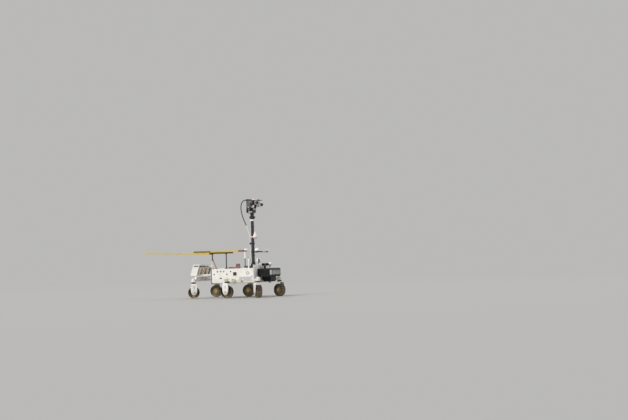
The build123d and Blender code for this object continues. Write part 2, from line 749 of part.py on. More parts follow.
with BuildPart() as ends:
    for y in (-CAGE_HALF_W, CAGE_INNER):
        with BuildSketch(Plane.XZ.offset(-y - CAGE_SHEET)):
            top_shift = SLOPE * (CAGE_TOP - CAGE_BOTTOM)
            lid_shift = SLOPE * (CAGE_LID_TOP + 8 - CAGE_BOTTOM)
            rail_shift = SLOPE * (CAGE_TOP - FRAME_T - CAGE_BOTTOM)
            Polygon(
                (CAGE_REAR, CAGE_BOTTOM),
                (CAGE_FRONT, CAGE_BOTTOM),
                (CAGE_FRONT + top_shift, CAGE_TOP),
                (CAGE_REAR + top_shift, CAGE_TOP),
                align=None,
            )
            Polygon(
                (CAGE_REAR + lid_shift + 18, CAGE_LID_TOP + 8),
                (CAGE_FRONT + lid_shift - 18, CAGE_LID_TOP + 8),
                (CAGE_FRONT + rail_shift - 18, CAGE_TOP - FRAME_T),
                (CAGE_REAR + rail_shift + 18, CAGE_TOP - FRAME_T),
                align=None,
                mode=Mode.SUBTRACT,
            )
        extrude(amount=CAGE_SHEET)
    with BuildSketch(Plane.XZ.offset(-CAGE_HALF_W)):
        for x in (CAGE_REAR + top_shift + FRAME_T / 2, CAGE_FRONT + top_shift - FRAME_T / 2 - 4):
            with Locations((x, CAGE_TOP - FRAME_T / 2)):
                Rectangle(FRAME_T, FRAME_T)
    extrude(amount=2 * CAGE_HALF_W)
save(ends.part, "cage_ends")

BACK_T = 4
BACK_INSET = 6
with BuildPart() as cage_back:
    with BuildSketch(Plane.XZ.offset(-CAGE_INNER)):
        foot_x = CAGE_REAR + SLOPE * CAGE_FLOOR_T + BACK_INSET
        head_x = CAGE_REAR + CAGE_LEAN + BACK_INSET
        Polygon(
            (foot_x, CAGE_FLOOR_TOP),
            (foot_x + BACK_T, CAGE_FLOOR_TOP),
            (head_x + BACK_T, CAGE_LID_BOTTOM),
            (head_x, CAGE_LID_BOTTOM),
            align=None,
        )
    extrude(amount=2 * CAGE_INNER)
save(cage_back.part, "cage_back")

# along Y, width and height of each box on the cage's lid
LID_BOXES = ((-196, 120, 26), (-20, 170, 34), (160, 130, 24))
LID_MID_X = (CAGE_REAR + CAGE_FRONT) / 2 + CAGE_LEAN
with BuildPart() as cage_lid:
    with BuildSketch(Plane.XY.offset(CAGE_LID_BOTTOM)):
        with Locations((LID_MID_X + 3, 0)):
            Rectangle(CAGE_FRONT - CAGE_REAR - 8, 2 * CAGE_INNER)
    extrude(amount=CAGE_LID_T)
    for y, width, height in LID_BOXES:
        with BuildSketch(Plane.XY.offset(CAGE_LID_TOP)):
            with Locations((LID_MID_X + 4, y)):
                RectangleRounded(84, width, 5)
        extrude(amount=height)
save(cage_lid.part, "cage_lid")

modules = []
module_y = -(sum(width for width, depth in CAGE_MODULES) + MODULE_GAP * (len(CAGE_MODULES) - 1)) / 2
for width, depth in CAGE_MODULES:
    with BuildPart() as module:
        with BuildSketch(Plane.XZ.offset(-module_y - width)):
            face_x = CAGE_FRONT + SLOPE * CAGE_FLOOR_T - 9
            head_shift = SLOPE * (CAGE_LID_BOTTOM - CAGE_FLOOR_TOP)
            Polygon(
                (face_x - depth, CAGE_FLOOR_TOP),
                (face_x, CAGE_FLOOR_TOP),
                (face_x + head_shift, CAGE_LID_BOTTOM),
                (face_x - depth + head_shift, CAGE_LID_BOTTOM),
                align=None,
            )
        extrude(amount=width)
    modules.append(module.part)
    module_y += width + MODULE_GAP
save(Compound(children=modules), "cage_boards")

# Yellow boom: a level front board, and a tail board lapped under it that rises a little to the rear
with BuildPart() as boom_upper:
    with BuildSketch(Plane.XY.offset(BOOM_Z)):
        with Locations(((BOOM_FRONT + BOOM_LAP_REAR) / 2, BOOM_Y)):
            RectangleRounded(BOOM_FRONT - BOOM_LAP_REAR, BOOM_W, 6)
    extrude(amount=BOOM_T)
save(boom_upper.part, "boom_upper")

with BuildPart() as boom_lower:
    with BuildSketch(Plane.XZ.offset(-BOOM_Y - BOOM_W / 2)):
        Polygon(
            (BOOM_LAP_FRONT, BOOM_Z - 42),
            (BOOM_LAP_FRONT, BOOM_Z),
            (BOOM_LAP_REAR - 10, BOOM_Z),
            (BOOM_REAR, BOOM_Z + BOOM_RISE + 10),
            (BOOM_REAR, BOOM_Z + BOOM_RISE + 10 - TAIL_T),
            (BOOM_LAP_REAR - 10, BOOM_Z - TAIL_T),
            align=None,
        )
    extrude(amount=BOOM_W)
save(boom_lower.part, "boom_lower")

BASE_T = 8
BRACE_TOP_Z = 800
with BuildPart() as posts:
    with BuildSketch(Plane.XY.offset(DECK_TOP)):
        with Locations((POST_XS[0], BOOM_Y), (POST_XS[1], BOOM_Y)):
            RectangleRounded(60, 60, 6)
        with Locations((BRACE_FOOT_X, BOOM_Y)):
            Rectangle(40, 30)
    extrude(amount=BASE_T)
    with BuildSketch(Plane.XY.offset(DECK_TOP + BASE_T)):
        with Locations((POST_XS[0], BOOM_Y), (POST_XS[1], BOOM_Y)):
            Circle(POST_R)
    extrude(amount=BOOM_Z - DECK_TOP - BASE_T - BOOM_RAIL_T)
    with BuildSketch(Plane.XY.offset(DECK_TOP + BASE_T)):
        with Locations((POST_XS[0], BOOM_Y)):
            Circle(POST_SLEEVE_R)
    extrude(amount=POST_SLEEVE_TOP - DECK_TOP - BASE_T)
    with BuildSketch(Plane.XY.offset(BOOM_Z - BOOM_RAIL_T)):
        with Locations(((POST_XS[0] + POST_XS[1]) / 2 + 60, BOOM_Y)):
            Rectangle(POST_XS[1] - POST_XS[0] + 176, 34)
    extrude(amount=BOOM_RAIL_T)
    with BuildSketch(Plane.XZ.offset(-BOOM_Y - 5)):
        Polygon(
            (POST_XS[0], BRACE_TOP_Z + 22),
            (POST_XS[0], BRACE_TOP_Z),
            (BRACE_FOOT_X - 9, DECK_TOP + 4),
            (BRACE_FOOT_X + 9, DECK_TOP + 4),
            align=None,
        )
    extrude(amount=10)
save(posts.part, "boom_posts")

# Mast: gusseted foot, carbon tube, and a flared base that the head pans on
with BuildPart() as foot:
    with BuildSketch(Plane.XY.offset(DECK_TOP)):
        with Locations((MAST_X, 0)):
            RectangleRounded(126, 126, 12)
    extrude(amount=FOOT_T)
    with BuildSketch(Plane.XY.offset(DECK_TOP + FOOT_T)):
        with Locations((MAST_X, 0)):
            Circle(FOOT_R)
    extrude(amount=FOOT_TOP - DECK_TOP - FOOT_T)
    for turn in (45, 135, 225, 315):
        along = Vector(1, 0, 0).rotate(Axis.Z, turn)
        across = Vector(0, -1, 0).rotate(Axis.Z, turn)
        with BuildSketch(Plane(origin=(MAST_X, 0, DECK_TOP + FOOT_T), x_dir=along, z_dir=across).offset(-4)):
            Polygon((FOOT_R - 4, 0), (72, 0), (72, 14), (FOOT_R, 80), (FOOT_R - 4, 80), align=None)
        extrude(amount=8)
    with BuildSketch(Plane.XY.offset(DECK_TOP + FOOT_T)):
        with Locations((MAST_X, 0)):
            Circle(MAST_R)
    extrude(amount=FOOT_TOP - DECK_TOP - FOOT_T, mode=Mode.SUBTRACT)
save(foot.part, "mast_foot")

with BuildPart() as mast:
    with BuildSketch(Plane.XY.offset(DECK_TOP + FOOT_T)):
        with Locations((MAST_X, 0)):
            Circle(MAST_R)
    extrude(amount=MAST_TOP - DECK_TOP - FOOT_T)
save(mast.part, "mast_tube")

with BuildPart() as pan_base:
    with BuildSketch(Plane.XZ):
        with BuildLine():
            Polyline(
                (0, MAST_TOP + TOP_RING_H),
                (40, MAST_TOP + TOP_RING_H),
                (40, MAST_TOP + TOP_RING_H + 12),
                (62, MAST_TOP + TOP_RING_H + 32),
                (62, MAST_TOP + TOP_RING_H + 54),
                (35, MAST_TOP + TOP_RING_H + 70),
                (35, PAN_Z - 30),
                (46, PAN_Z - 20),
                (46, PAN_Z - 5),
                (SHAFT_R, PAN_Z - 5),
                (SHAFT_R, PAN_Z + 28),
                (0, PAN_Z + 28),
                close=True,
            )
        make_face()
    revolve(axis=Axis.Z)
save(pan_base.part.moved(Location((MAST_X, 0, 0))), "mast_pan_base")

BELL_CLAMP_Z = 1212
BELL_OUTLINE = ((0, 1192), (37, 1192), (41, 1204), (38, 1246), (20, 1292), (15, 1326), (7, 1332), (0, 1332))
with BuildPart() as top_ring:
    with BuildSketch(Plane.XY.offset(MAST_TOP)):
        with Locations((MAST_X, 0)):
            Circle(TOP_RING_R)
    extrude(amount=TOP_RING_H)
with BuildPart() as bell:
    with BuildSketch(Plane.XZ):
        Polygon(*BELL_OUTLINE, align=None)
    revolve(axis=Axis.Z)
bell_turn = math.degrees(math.atan2(BELL_Y, BELL_X - MAST_X))
with BuildPart() as bell_clamp:
    with BuildSketch(Plane.XY.offset(BELL_CLAMP_Z)):
        with Locations((MAST_X, 0)):
            Circle(MAST_R + 7)
        with Locations(Location(((MAST_X + BELL_X) / 2, BELL_Y / 2), bell_turn)):
            Rectangle(70, 24)
        with Locations((MAST_X, 0)):
            Circle(MAST_R, mode=Mode.SUBTRACT)
    extrude(amount=22)
bell_piece = bell.part.moved(Location((BELL_X, BELL_Y, 0))) + bell_clamp.part
save(Compound(children=[top_ring.part, bell_piece]), "mast_fittings")

# Head pieces are drawn looking straight ahead over the mast axis, then turned to their parked pan angle
HEAD_PLACE = Location((MAST_X, 0, 0), (0, 0, PAN_DEG))

with BuildPart() as pan_unit:
    with BuildSketch(Plane.XY.offset(PAN_Z)):
        RectangleRounded(2 * PAN_HALF_X, 2 * PAN_HALF_Y, 12)
    extrude(amount=TILT_Z + 40 - PAN_Z)
    with BuildSketch(Plane.XY.offset(PAN_Z)):
        Circle(SHAFT_R + RUN_CLEAR)
    extrude(amount=36, mode=Mode.SUBTRACT)
    with BuildSketch(Plane.XZ.offset(-YOKE_IN - YOKE_T - 8)):
        with Locations((0, TILT_Z)):
            Circle(TILT_PIN_R)
    extrude(amount=2 * (YOKE_IN + YOKE_T + 8))
save(pan_unit.part.moved(HEAD_PLACE), "pan_unit")

GUIDE_T = 7
with BuildPart() as guide:
    with BuildSketch(Plane.XZ.offset(-GUIDE_Y - 10)):
        Polygon(
            (-PAN_HALF_X, TILT_Z - 14),
            (-PAN_HALF_X, TILT_Z + 26),
            (GUIDE_X + GUIDE_T, TILT_Z + 40),
            (GUIDE_X + GUIDE_T, GUIDE_BLOCK_Z),
            (GUIDE_X - GUIDE_T, GUIDE_BLOCK_Z),
            (GUIDE_X - GUIDE_T, TILT_Z + 10),
            align=None,
        )
    extrude(amount=20)
    with BuildSketch(Plane.XY.offset(GUIDE_BLOCK_Z)):
        with Locations((GUIDE_X, GUIDE_Y)):
            RectangleRounded(40, 34, 6)
    extrude(amount=GUIDE_BLOCK_H)
save(guide.part.moved(HEAD_PLACE), "cable_guide")

with BuildPart() as yoke:
    for y in (-YOKE_IN - YOKE_T, YOKE_IN):
        with BuildSketch(Plane.XZ.offset(-y - YOKE_T)):
            with Locations((0, TILT_Z)):
                Circle(30)
            with BuildLine():
                Polyline(
                    (-29, TILT_Z + 6),
                    (29, TILT_Z - 6),
                    (62, TILT_Z + 80),
                    (62, YOKE_TOP),
                    (8, YOKE_TOP),
                    (8, TILT_Z + 80),
                    close=True,
                )
            make_face()
            with Locations((0, TILT_Z)):
                Circle(TILT_PIN_R + RUN_CLEAR, mode=Mode.SUBTRACT)
        extrude(amount=YOKE_T)
    with BuildSketch(Plane.XY.offset(YOKE_CROSS)):
        with Locations((35, 0)):
            Rectangle(54, 2 * YOKE_IN)
    extrude(amount=YOKE_TOP - YOKE_CROSS)
    with BuildSketch(Plane.XY.offset(YOKE_TOP)):
        with Locations((35, 0)):
            RectangleRounded(54, 70, 6)
    extrude(amount=BAR_BOTTOM - YOKE_TOP)
save(yoke.part.moved(HEAD_PLACE), "tilt_yoke")

with BuildPart() as bar:
    with BuildSketch(Plane.XY.offset(BAR_BOTTOM)):
        with Locations((BAR_X, 0)):
            RectangleRounded(84, 2 * BAR_HALF, 10)
        with Locations((BAR_X, -92), (BAR_X, 92)):
            SlotOverall(54, 26, rotation=90, mode=Mode.SUBTRACT)
    extrude(amount=BAR_T)
    with BuildSketch(Plane.XY.offset(BAR_BOTTOM + BAR_T)):
        with Locations((BAR_X - 36, 0)):
            Rectangle(12, 2 * BAR_HALF - 20)
    extrude(amount=BAR_TOP - BAR_BOTTOM - BAR_T)
save(bar.part.moved(HEAD_PLACE), "camera_bar")

pods = []
for y in (-POD_Y, POD_Y):
    with BuildPart() as pod:
        with BuildSketch(Plane.XY.offset(BAR_BOTTOM - POD_DROP)):
            with Locations((BAR_X + 2, y)):
                RectangleRounded(86, 74, 6)
        extrude(amount=POD_DROP)
        with BuildSketch(Plane.YZ.offset(BAR_X + 45)):
            with Locations((y, POD_LENS_Z)):
                Circle(24)
        extrude(amount=26)
        with BuildSketch(Plane.YZ.offset(BAR_X + 71)):
            with Locations((y, POD_LENS_Z)):
                Circle(19)
        extrude(amount=-20, mode=Mode.SUBTRACT)
    pods.append(pod.part.moved(HEAD_PLACE))
save(Compound(children=pods), "camera_pods")

with BuildPart() as center_camera:
    with BuildSketch(Plane.XY.offset(BAR_BOTTOM - CENTER_DROP)):
        with Locations((BAR_X + 24, 0)):
            RectangleRounded(60, 104, 8)
    extrude(amount=CENTER_DROP)
    with BuildSketch(Plane.YZ.offset(BAR_X + 54)):
        with Locations((0, CENTER_LENS_Z)):
            Circle(27)
    extrude(amount=22)
    with BuildSketch(Plane.YZ.offset(BAR_X + 76)):
        with Locations((0, CENTER_LENS_Z)):
            Circle(22)
    extrude(amount=-16, mode=Mode.SUBTRACT)
with BuildPart() as bar_cover:
    with BuildSketch(Plane.XY.offset(BAR_BOTTOM + BAR_T)):
        with Locations((BAR_X + 8, 0)):
            RectangleRounded(66, 116, 8)
    extrude(amount=COVER_TOP - BAR_BOTTOM - BAR_T)
save(Compound(children=[center_camera.part, bar_cover.part]).moved(HEAD_PLACE), "camera_center")

# Antennas: a cross arm clamped to the mast with a dome and a disc, a disc on a deck pole, a ball on the nose
with BuildPart() as crossbar:
    with BuildSketch(Plane.XY.offset(ARM_Z)):
        with Locations((MAST_X, 0)):
            Circle(MAST_R + 10)
        with Locations((MAST_X + 84, 0)):
            Rectangle(ARM_REACH - 16, 40)
        with Locations((MAST_X + ARM_REACH, 70)):
            Rectangle(32, 180)
        with Locations((MAST_X, 0)):
            Circle(MAST_R, mode=Mode.SUBTRACT)
    extrude(amount=ARM_T)
    with BuildSketch(Plane.XY.offset(ARM_Z)):
        with Locations((MAST_X + ARM_REACH, 290)):
            Rectangle(32, 270)
    extrude(amount=LEFT_ARM_T)
save(crossbar.part, "antenna_crossbar")

with BuildPart() as disc:
    with BuildSketch(Plane.XZ):
        Polygon(
            (0, 0), (15, 0), (DISC_R, 15), (DISC_R, DISC_H - 10), (DISC_R - 10, DISC_H), (0, DISC_H), align=None
        )
    revolve(axis=Axis.Z)
with BuildPart() as dome:
    with BuildSketch(Plane.XZ):
        with BuildLine():
            Polyline((0, DOME_H), (0, 0), (DOME_R, 0), (DOME_R, DOME_RIM))
            RadiusArc((DOME_R, DOME_RIM), (0, DOME_H), -DOME_ARC_R)
        make_face()
    revolve(axis=Axis.Z)
with BuildPart() as ball:
    with BuildSketch(Plane.XZ):
        with BuildLine():
            Polyline((0, BALL_Z + BALL_R), (0, 0), (STALK_R, 0), (STALK_R, BALL_Z - BALL_DIP))
            ThreePointArc((STALK_R, BALL_Z - BALL_DIP), (BALL_R, BALL_Z), (0, BALL_Z + BALL_R))
        make_face()
    revolve(axis=Axis.Z)
white_caps = [disc.part.moved(Location(place)) for place in (DISC_LEFT, DISC_RIGHT)]
white_caps.append(dome.part.moved(Location((MAST_X + DOME_REACH, 0, ARM_TOP_Z))))
white_caps.append(ball.part.moved(Location((NOSE_REAR + 50, 236, NOSE_LID_TOP))))
save(Compound(children=white_caps), "antennas")

POLE_R = 8
POLE_SLEEVE_R = 16
POLE_SLEEVE_Z = 790
POLE_PLATE_T = 12
with BuildPart() as pole:
    with BuildSketch(Plane.XY.offset(DECK_TOP)):
        with Locations((POLE_X, DISC_RIGHT[1])):
            Circle(24)
    extrude(amount=10)
    with BuildSketch(Plane.XY.offset(DECK_TOP + 10)):
        with Locations((POLE_X, DISC_RIGHT[1])):
            Circle(POLE_R)
    extrude(amount=POLE_SLEEVE_Z - DECK_TOP - 10)
    with BuildSketch(Plane.XY.offset(POLE_SLEEVE_Z)):
        with Locations((POLE_X, DISC_RIGHT[1])):
            Circle(POLE_SLEEVE_R)
    extrude(amount=DISC_RIGHT[2] - POLE_PLATE_T - POLE_SLEEVE_Z)
    with BuildSketch(Plane.XY.offset(DISC_RIGHT[2] - POLE_PLATE_T)):
        with Locations(((POLE_X + DISC_RIGHT[0]) / 2, DISC_RIGHT[1])):
            SlotOverall(62, 32)
    extrude(amount=POLE_PLATE_T)
with BuildPart() as rod:
    with BuildSketch(Plane.XY.offset(DECK_TOP)):
        with Locations((ROD_X, DISC_RIGHT[1])):
            Circle(20)
    extrude(amount=8)
    with BuildSketch(Plane.XY.offset(DECK_TOP + 8)):
        with Locations((ROD_X, DISC_RIGHT[1])):
            Circle(12)
    extrude(amount=ROD_TOP - DECK_TOP - 8)
save(Compound(children=[pole.part, rod.part]), "antenna_pole")

# Deck equipment, with a red unit and its thin rod on the right edge, and a camera over the drill box
with BuildPart() as deck_boxes:
    with BuildSketch(Plane.XY.offset(DECK_TOP)):
        with Locations((MID_X + 60, -250)):
            RectangleRounded(210, 120, 8)
    extrude(amount=28)
    with BuildSketch(Plane.XY.offset(DECK_TOP)):
        with Locations((MID_X + 330, -250), (MID_X + 330, 250)):
            RectangleRounded(70, 80, 8)
    extrude(amount=44)
    with BuildSketch(Plane.XY.offset(DECK_TOP)):
        with Locations((MID_X + 110, 290)):
            RectangleRounded(170, 110, 8)
    extrude(amount=36)
save(deck_boxes.part, "deck_boxes")

RAIL_Y = -404
RAIL_Z = 622
with BuildPart() as rail:
    with BuildSketch(Plane.XY.offset(DECK_TOP)):
        with Locations((MID_X + 216, RAIL_Y)):
            RectangleRounded(80, 42, 8)
    extrude(amount=88)
    with BuildSketch(Plane.XY.offset(DECK_TOP)):
        with Locations((MID_X, RAIL_Y)):
            Rectangle(14, 14)
    extrude(amount=RAIL_Z - DECK_TOP + 7)
    with BuildSketch(Plane.YZ.offset(MID_X)):
        with Locations((RAIL_Y, RAIL_Z)):
            Circle(5)
    extrude(amount=180)
save(rail.part, "deck_rail")

CAMERA_X = NOSE_REAR + 50
CAMERA_BASE_Z = 628
CAMERA_YS = (-83, 87)
with BuildPart() as front_camera:
    with BuildSketch(Plane.XY.offset(NOSE_LID_TOP)):
        with Locations((CAMERA_X, 0)):
            Rectangle(26, 34)
    extrude(amount=CAMERA_BASE_Z - NOSE_LID_TOP)
    with BuildSketch(Plane.XY.offset(CAMERA_BASE_Z)):
        with Locations((CAMERA_X, sum(CAMERA_YS) / 2)):
            RectangleRounded(34, 230, 8)
    extrude(amount=8)
    with BuildSketch(Plane.XY.offset(CAMERA_BASE_Z + 8)):
        with Locations(*[(CAMERA_X + 4, y) for y in CAMERA_YS]):
            RectangleRounded(48, 46, 5)
    extrude(amount=46)
    with BuildSketch(Plane.YZ.offset(CAMERA_X + 28)):
        with Locations(*[(y, CAMERA_BASE_Z + 31) for y in CAMERA_YS]):
            Circle(16)
    extrude(amount=16)
save(front_camera.part, "front_camera")

# Mast cable: the strap that holds it, the strapped run down to the deck gland, and the free loop above
with BuildPart() as strap:
    with BuildSketch(Plane.XY.offset(STRAP_Z - STRAP_H)):
        with Locations((MAST_X, 0)):
            Circle(MAST_R + 8)
        with Locations((MAST_X + STRAP_X, 0)):
            Circle(STRAPPED_R + 5)
        with Locations((MAST_X - 44, 0)):
            Rectangle(28, 20)
        with Locations((MAST_X, 0)):
            Circle(MAST_R, mode=Mode.SUBTRACT)
    extrude(amount=STRAP_H)
with BuildPart() as gland:
    with BuildSketch(Plane.XY.offset(DECK_TOP)):
        with Locations((MAST_X + GLAND_X, GLAND_Y)):
            RegularPolygon(radius=20, side_count=6)
    extrude(amount=GLAND_H)
save(Compound(children=[strap.part, gland.part]), "cable_holders")
cable_tube(STRAPPED_ROUTE, STRAPPED_R, "mast_cable")
cable_tube(CABLE_ROUTE, CABLE_R, "head_cable")
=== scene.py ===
import json
import math

import bmesh
import bpy
from mathutils import Matrix, Vector


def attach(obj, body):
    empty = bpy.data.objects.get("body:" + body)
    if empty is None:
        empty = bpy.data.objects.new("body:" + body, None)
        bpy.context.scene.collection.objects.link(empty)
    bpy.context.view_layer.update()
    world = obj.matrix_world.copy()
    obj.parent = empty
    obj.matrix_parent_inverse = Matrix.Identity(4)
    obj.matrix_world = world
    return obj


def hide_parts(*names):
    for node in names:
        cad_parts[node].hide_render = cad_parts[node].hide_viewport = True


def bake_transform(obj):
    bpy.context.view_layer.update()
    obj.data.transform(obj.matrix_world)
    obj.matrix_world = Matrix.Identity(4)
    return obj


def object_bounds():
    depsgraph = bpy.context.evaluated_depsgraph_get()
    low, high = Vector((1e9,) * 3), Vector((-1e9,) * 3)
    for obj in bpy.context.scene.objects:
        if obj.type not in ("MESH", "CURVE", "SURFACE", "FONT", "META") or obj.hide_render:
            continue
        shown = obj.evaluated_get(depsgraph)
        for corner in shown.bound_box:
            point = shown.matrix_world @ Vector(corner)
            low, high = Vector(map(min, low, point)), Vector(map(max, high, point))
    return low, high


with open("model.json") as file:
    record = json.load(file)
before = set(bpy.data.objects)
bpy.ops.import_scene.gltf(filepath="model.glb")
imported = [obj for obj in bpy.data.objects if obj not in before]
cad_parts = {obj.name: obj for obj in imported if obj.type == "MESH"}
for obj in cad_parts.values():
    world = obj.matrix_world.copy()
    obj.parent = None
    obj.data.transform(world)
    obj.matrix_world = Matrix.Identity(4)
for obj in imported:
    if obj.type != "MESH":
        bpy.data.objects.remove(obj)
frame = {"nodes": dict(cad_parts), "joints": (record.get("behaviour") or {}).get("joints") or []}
cad_low, cad_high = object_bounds()
nodes = frame["nodes"]
joints = {joint["name"]: joint for joint in frame["joints"]}


# Camera: a long lens on the rover's front right, about 33 m away and below a person's knee, so that the
# deck isn't seen. It is rolled a touch, and the rover stands low and left in the frame.
PHOTO_W = 628
PHOTO_H = 420
PX_PER_M = 49.0
AXLE_PX = Vector((238.4, 297.3))
VIEW_AZIMUTH = math.radians(24)
VIEW_ELEVATION = math.radians(-1.6)
VIEW_ROLL = math.radians(1.6)
VIEW_DISTANCE = 33.0

level_right = Vector((math.cos(VIEW_AZIMUTH), math.sin(VIEW_AZIMUTH), 0))
view_back = Vector((
    math.sin(VIEW_AZIMUTH) * math.cos(VIEW_ELEVATION),
    -math.cos(VIEW_AZIMUTH) * math.cos(VIEW_ELEVATION),
    math.sin(VIEW_ELEVATION),
))
level_up = view_back.cross(level_right)
view_right = level_right * math.cos(VIEW_ROLL) - level_up * math.sin(VIEW_ROLL)
view_up = level_up * math.cos(VIEW_ROLL) + level_right * math.sin(VIEW_ROLL)

middle_axle = Vector((joints["roll_mid_right"]["pos_m"][0], 0, 0))
across = (AXLE_PX.x - PHOTO_W / 2) / PX_PER_M
upward = (PHOTO_H / 2 - AXLE_PX.y) / PX_PER_M
target = middle_axle - view_right * across - view_up * upward

camera = bpy.data.objects.new("photo_camera", bpy.data.cameras.new("photo_camera"))
bpy.context.scene.collection.objects.link(camera)
camera.location = target + view_back * VIEW_DISTANCE
camera.rotation_euler = Matrix((view_right, view_up, view_back)).transposed().to_euler()
camera.data.sensor_width = 36
camera.data.lens = camera.data.sensor_width * VIEW_DISTANCE * PX_PER_M / PHOTO_W
camera.data.clip_end = 400
bpy.context.scene.camera = camera


# Head cable: a limp braided lead from the connector behind the camera bar to the strap on the mast.
# It bows out behind the mast so that the head can turn. Its sleeve is black above and white below.
CABLE_R = 0.009
CABLE_SIDES = 20
STRANDS = 12
SLEEVE_END_Z = 1.46
SLEEVE_BLACK = (0.022, 0.022, 0.024)
SLEEVE_WHITE = (0.92, 0.90, 0.86)
mast_axis = Vector((joints["mast_pan"]["pos_m"][0], 0, 0))
HEAD_CABLE_ROUTE = (
    (-0.1356, 0.0156, 1.975),
    (-0.1974, 0.0322, 1.975),
    (-0.250, 0.044, 1.932),
    (-0.274, 0.046, 1.856),
    (-0.270, 0.042, 1.764),
    (-0.242, 0.036, 1.664),
    (-0.204, 0.028, 1.566),
    (-0.146, 0.018, 1.462),
    (-0.102, 0.008, 1.352),
    (-0.070, 0.002, 1.256),
    (-0.056, 0.000, 1.170),
    (-0.056, 0.000, 1.102),
)


class Tree:
    """Short calls that add nodes to the tree of a material or of the world."""

    def __init__(self, owner):
        owner.use_nodes = True
        self.tree = owner.node_tree
        self.shader = self.tree.nodes.get("Principled BSDF")

    def feed(self, node, inputs):
        """Links each input that is given another node's output, and sets the others."""
        for key, value in inputs.items():
            socket = node.inputs[key]
            if isinstance(value, bpy.types.NodeSocket):
                self.tree.links.new(value, socket)
            else:
                socket.default_value = (*value, 1) if socket.type == "RGBA" else value

    def add(self, kind, inputs=None, **settings):
        """One more node, with its settings and its inputs."""
        node = self.tree.nodes.new("ShaderNode" + kind)
        for key, value in settings.items():
            setattr(node, key, value)
        self.feed(node, inputs or {})
        return node

    def maths(self, operation, *values, clamp=False):
        """One arithmetic step on outputs or numbers."""
        return self.add("Math", dict(enumerate(values)), operation=operation, use_clamp=clamp).outputs[0]

    def mixed(self, factor, first, second):
        """Two colours mixed, each given as a colour or as another node's output."""
        return self.add("Mix", {0: factor, 6: first, 7: second}, data_type="RGBA").outputs[2]

    def ramp(self, value, start, end, low=0.0, high=1.0, **settings):
        """A value carried over from one range to another, and held inside it."""
        inputs = {"Value": value, "From Min": start, "From Max": end, "To Min": low, "To Max": high}
        return self.add("MapRange", inputs, **settings).outputs[0]

    def place(self):
        """A point in the object's coordinates, whole and as its X, Y and Z."""
        point = self.add("TexCoord").outputs["Object"]
        return point, self.add("SeparateXYZ", {0: point}).outputs

    def noise(self, point, scale, detail, roughness=0.5):
        """Soft noise over a point."""
        inputs = {"Vector": point, "Scale": scale, "Detail": detail, "Roughness": roughness}
        return self.add("TexNoise", inputs).outputs[0]


def new_finish(name, constants):
    """A material with constants on its shader's own sockets, and its tree."""
    material = bpy.data.materials.new(name)
    tree = Tree(material)
    tree.feed(tree.shader, constants)
    return material, tree


def braided(name, radius, along_uv):
    """Braided sleeving, black above a height: two sets of strands that cross round the cable, painted darker
    where they dip under each other, as painted shade.
    """
    material, tree = new_finish(name, {"Roughness": 0.62})
    point, axes = tree.place()
    if along_uv:
        turns = tree.add("SeparateXYZ", {0: tree.add("UVMap", uv_map="along").outputs[0]}).outputs
        around = tree.maths("MULTIPLY", turns[0], STRANDS)
        along = tree.maths("MULTIPLY", turns[1], STRANDS / (2 * math.pi * radius))
    else:
        around = tree.maths("MULTIPLY", axes[1], STRANDS / (4 * radius))
        along = tree.maths("MULTIPLY", axes[2], STRANDS / (4 * radius))
    left = tree.maths("PINGPONG", tree.maths("ADD", around, along), 0.5)
    right = tree.maths("PINGPONG", tree.maths("SUBTRACT", around, along), 0.5)
    weave = tree.maths("MAXIMUM", left, right)
    plain = tree.mixed(tree.maths("GREATER_THAN", axes[2], SLEEVE_END_Z), SLEEVE_WHITE, SLEEVE_BLACK)
    # Painted shade: the colour is darkened in the dips between the strands.
    shade = tree.ramp(weave, 0.2, 0.5, 0.62, 1.0)
    shaded = tree.add("VectorMath", {0: plain, "Scale": shade}, operation="SCALE").outputs[0]
    bump = tree.add("Bump", {"Strength": 0.5, "Distance": 0.0008, "Height": weave}).outputs[0]
    tree.feed(tree.shader, {"Base Color": shaded, "Normal": bump})
    return material


def nurbs_path(points):
    """The points along one smooth spline through the route."""
    curve = bpy.data.curves.new("route", "CURVE")
    curve.dimensions = "3D"
    curve.resolution_u = 10
    spline = curve.splines.new("NURBS")
    spline.points.add(len(points) - 1)
    for corner, point in zip(spline.points, points):
        corner.co = (*point, 1)
    spline.order_u = 3
    spline.use_endpoint_u = True
    holder = bpy.data.objects.new("route", curve)
    bpy.context.scene.collection.objects.link(holder)
    line = bpy.data.meshes.new_from_object(holder)
    path = [vertex.co.copy() for vertex in line.vertices]
    bpy.data.objects.remove(holder)
    bpy.data.meshes.remove(line)
    bpy.data.curves.remove(curve)
    return path


def cable_tube(name, path, radius, sides):
    """A closed tube along the path, with a UV map of turns round it and metres along it."""
    shape = bmesh.new()
    uv = shape.loops.layers.uv.new("along")
    side = Vector((0, 1, 0))
    rings = []
    travelled = [0.0]
    for index, point in enumerate(path):
        ahead = path[min(index + 1, len(path) - 1)] - path[max(index - 1, 0)]
        ahead.normalize()
        side = (side - ahead * side.dot(ahead)).normalized()
        other = ahead.cross(side)
        ring = []
        for step in range(sides):
            angle = 2 * math.pi * step / sides
            ring.append(shape.verts.new(point + (side * math.cos(angle) + other * math.sin(angle)) * radius))
        rings.append(ring)
        if index:
            travelled.append(travelled[-1] + (point - path[index - 1]).length)
    for row in range(len(rings) - 1):
        for step in range(sides):
            nearer, further = rings[row], rings[row + 1]
            after = (step + 1) % sides
            face = shape.faces.new((nearer[step], nearer[after], further[after], further[step]))
            face.smooth = True
            corners = ((step, row), (step + 1, row), (step + 1, row + 1), (step, row + 1))
            for loop, (turn, along) in zip(face.loops, corners):
                loop[uv].uv = (turn / sides, travelled[along])
    shape.faces.new(reversed(rings[0]))
    shape.faces.new(rings[-1])
    mesh = bpy.data.meshes.new(name)
    shape.to_mesh(mesh)
    shape.free()
    piece = bpy.data.objects.new(name, mesh)
    bpy.context.scene.collection.objects.link(piece)
    return piece


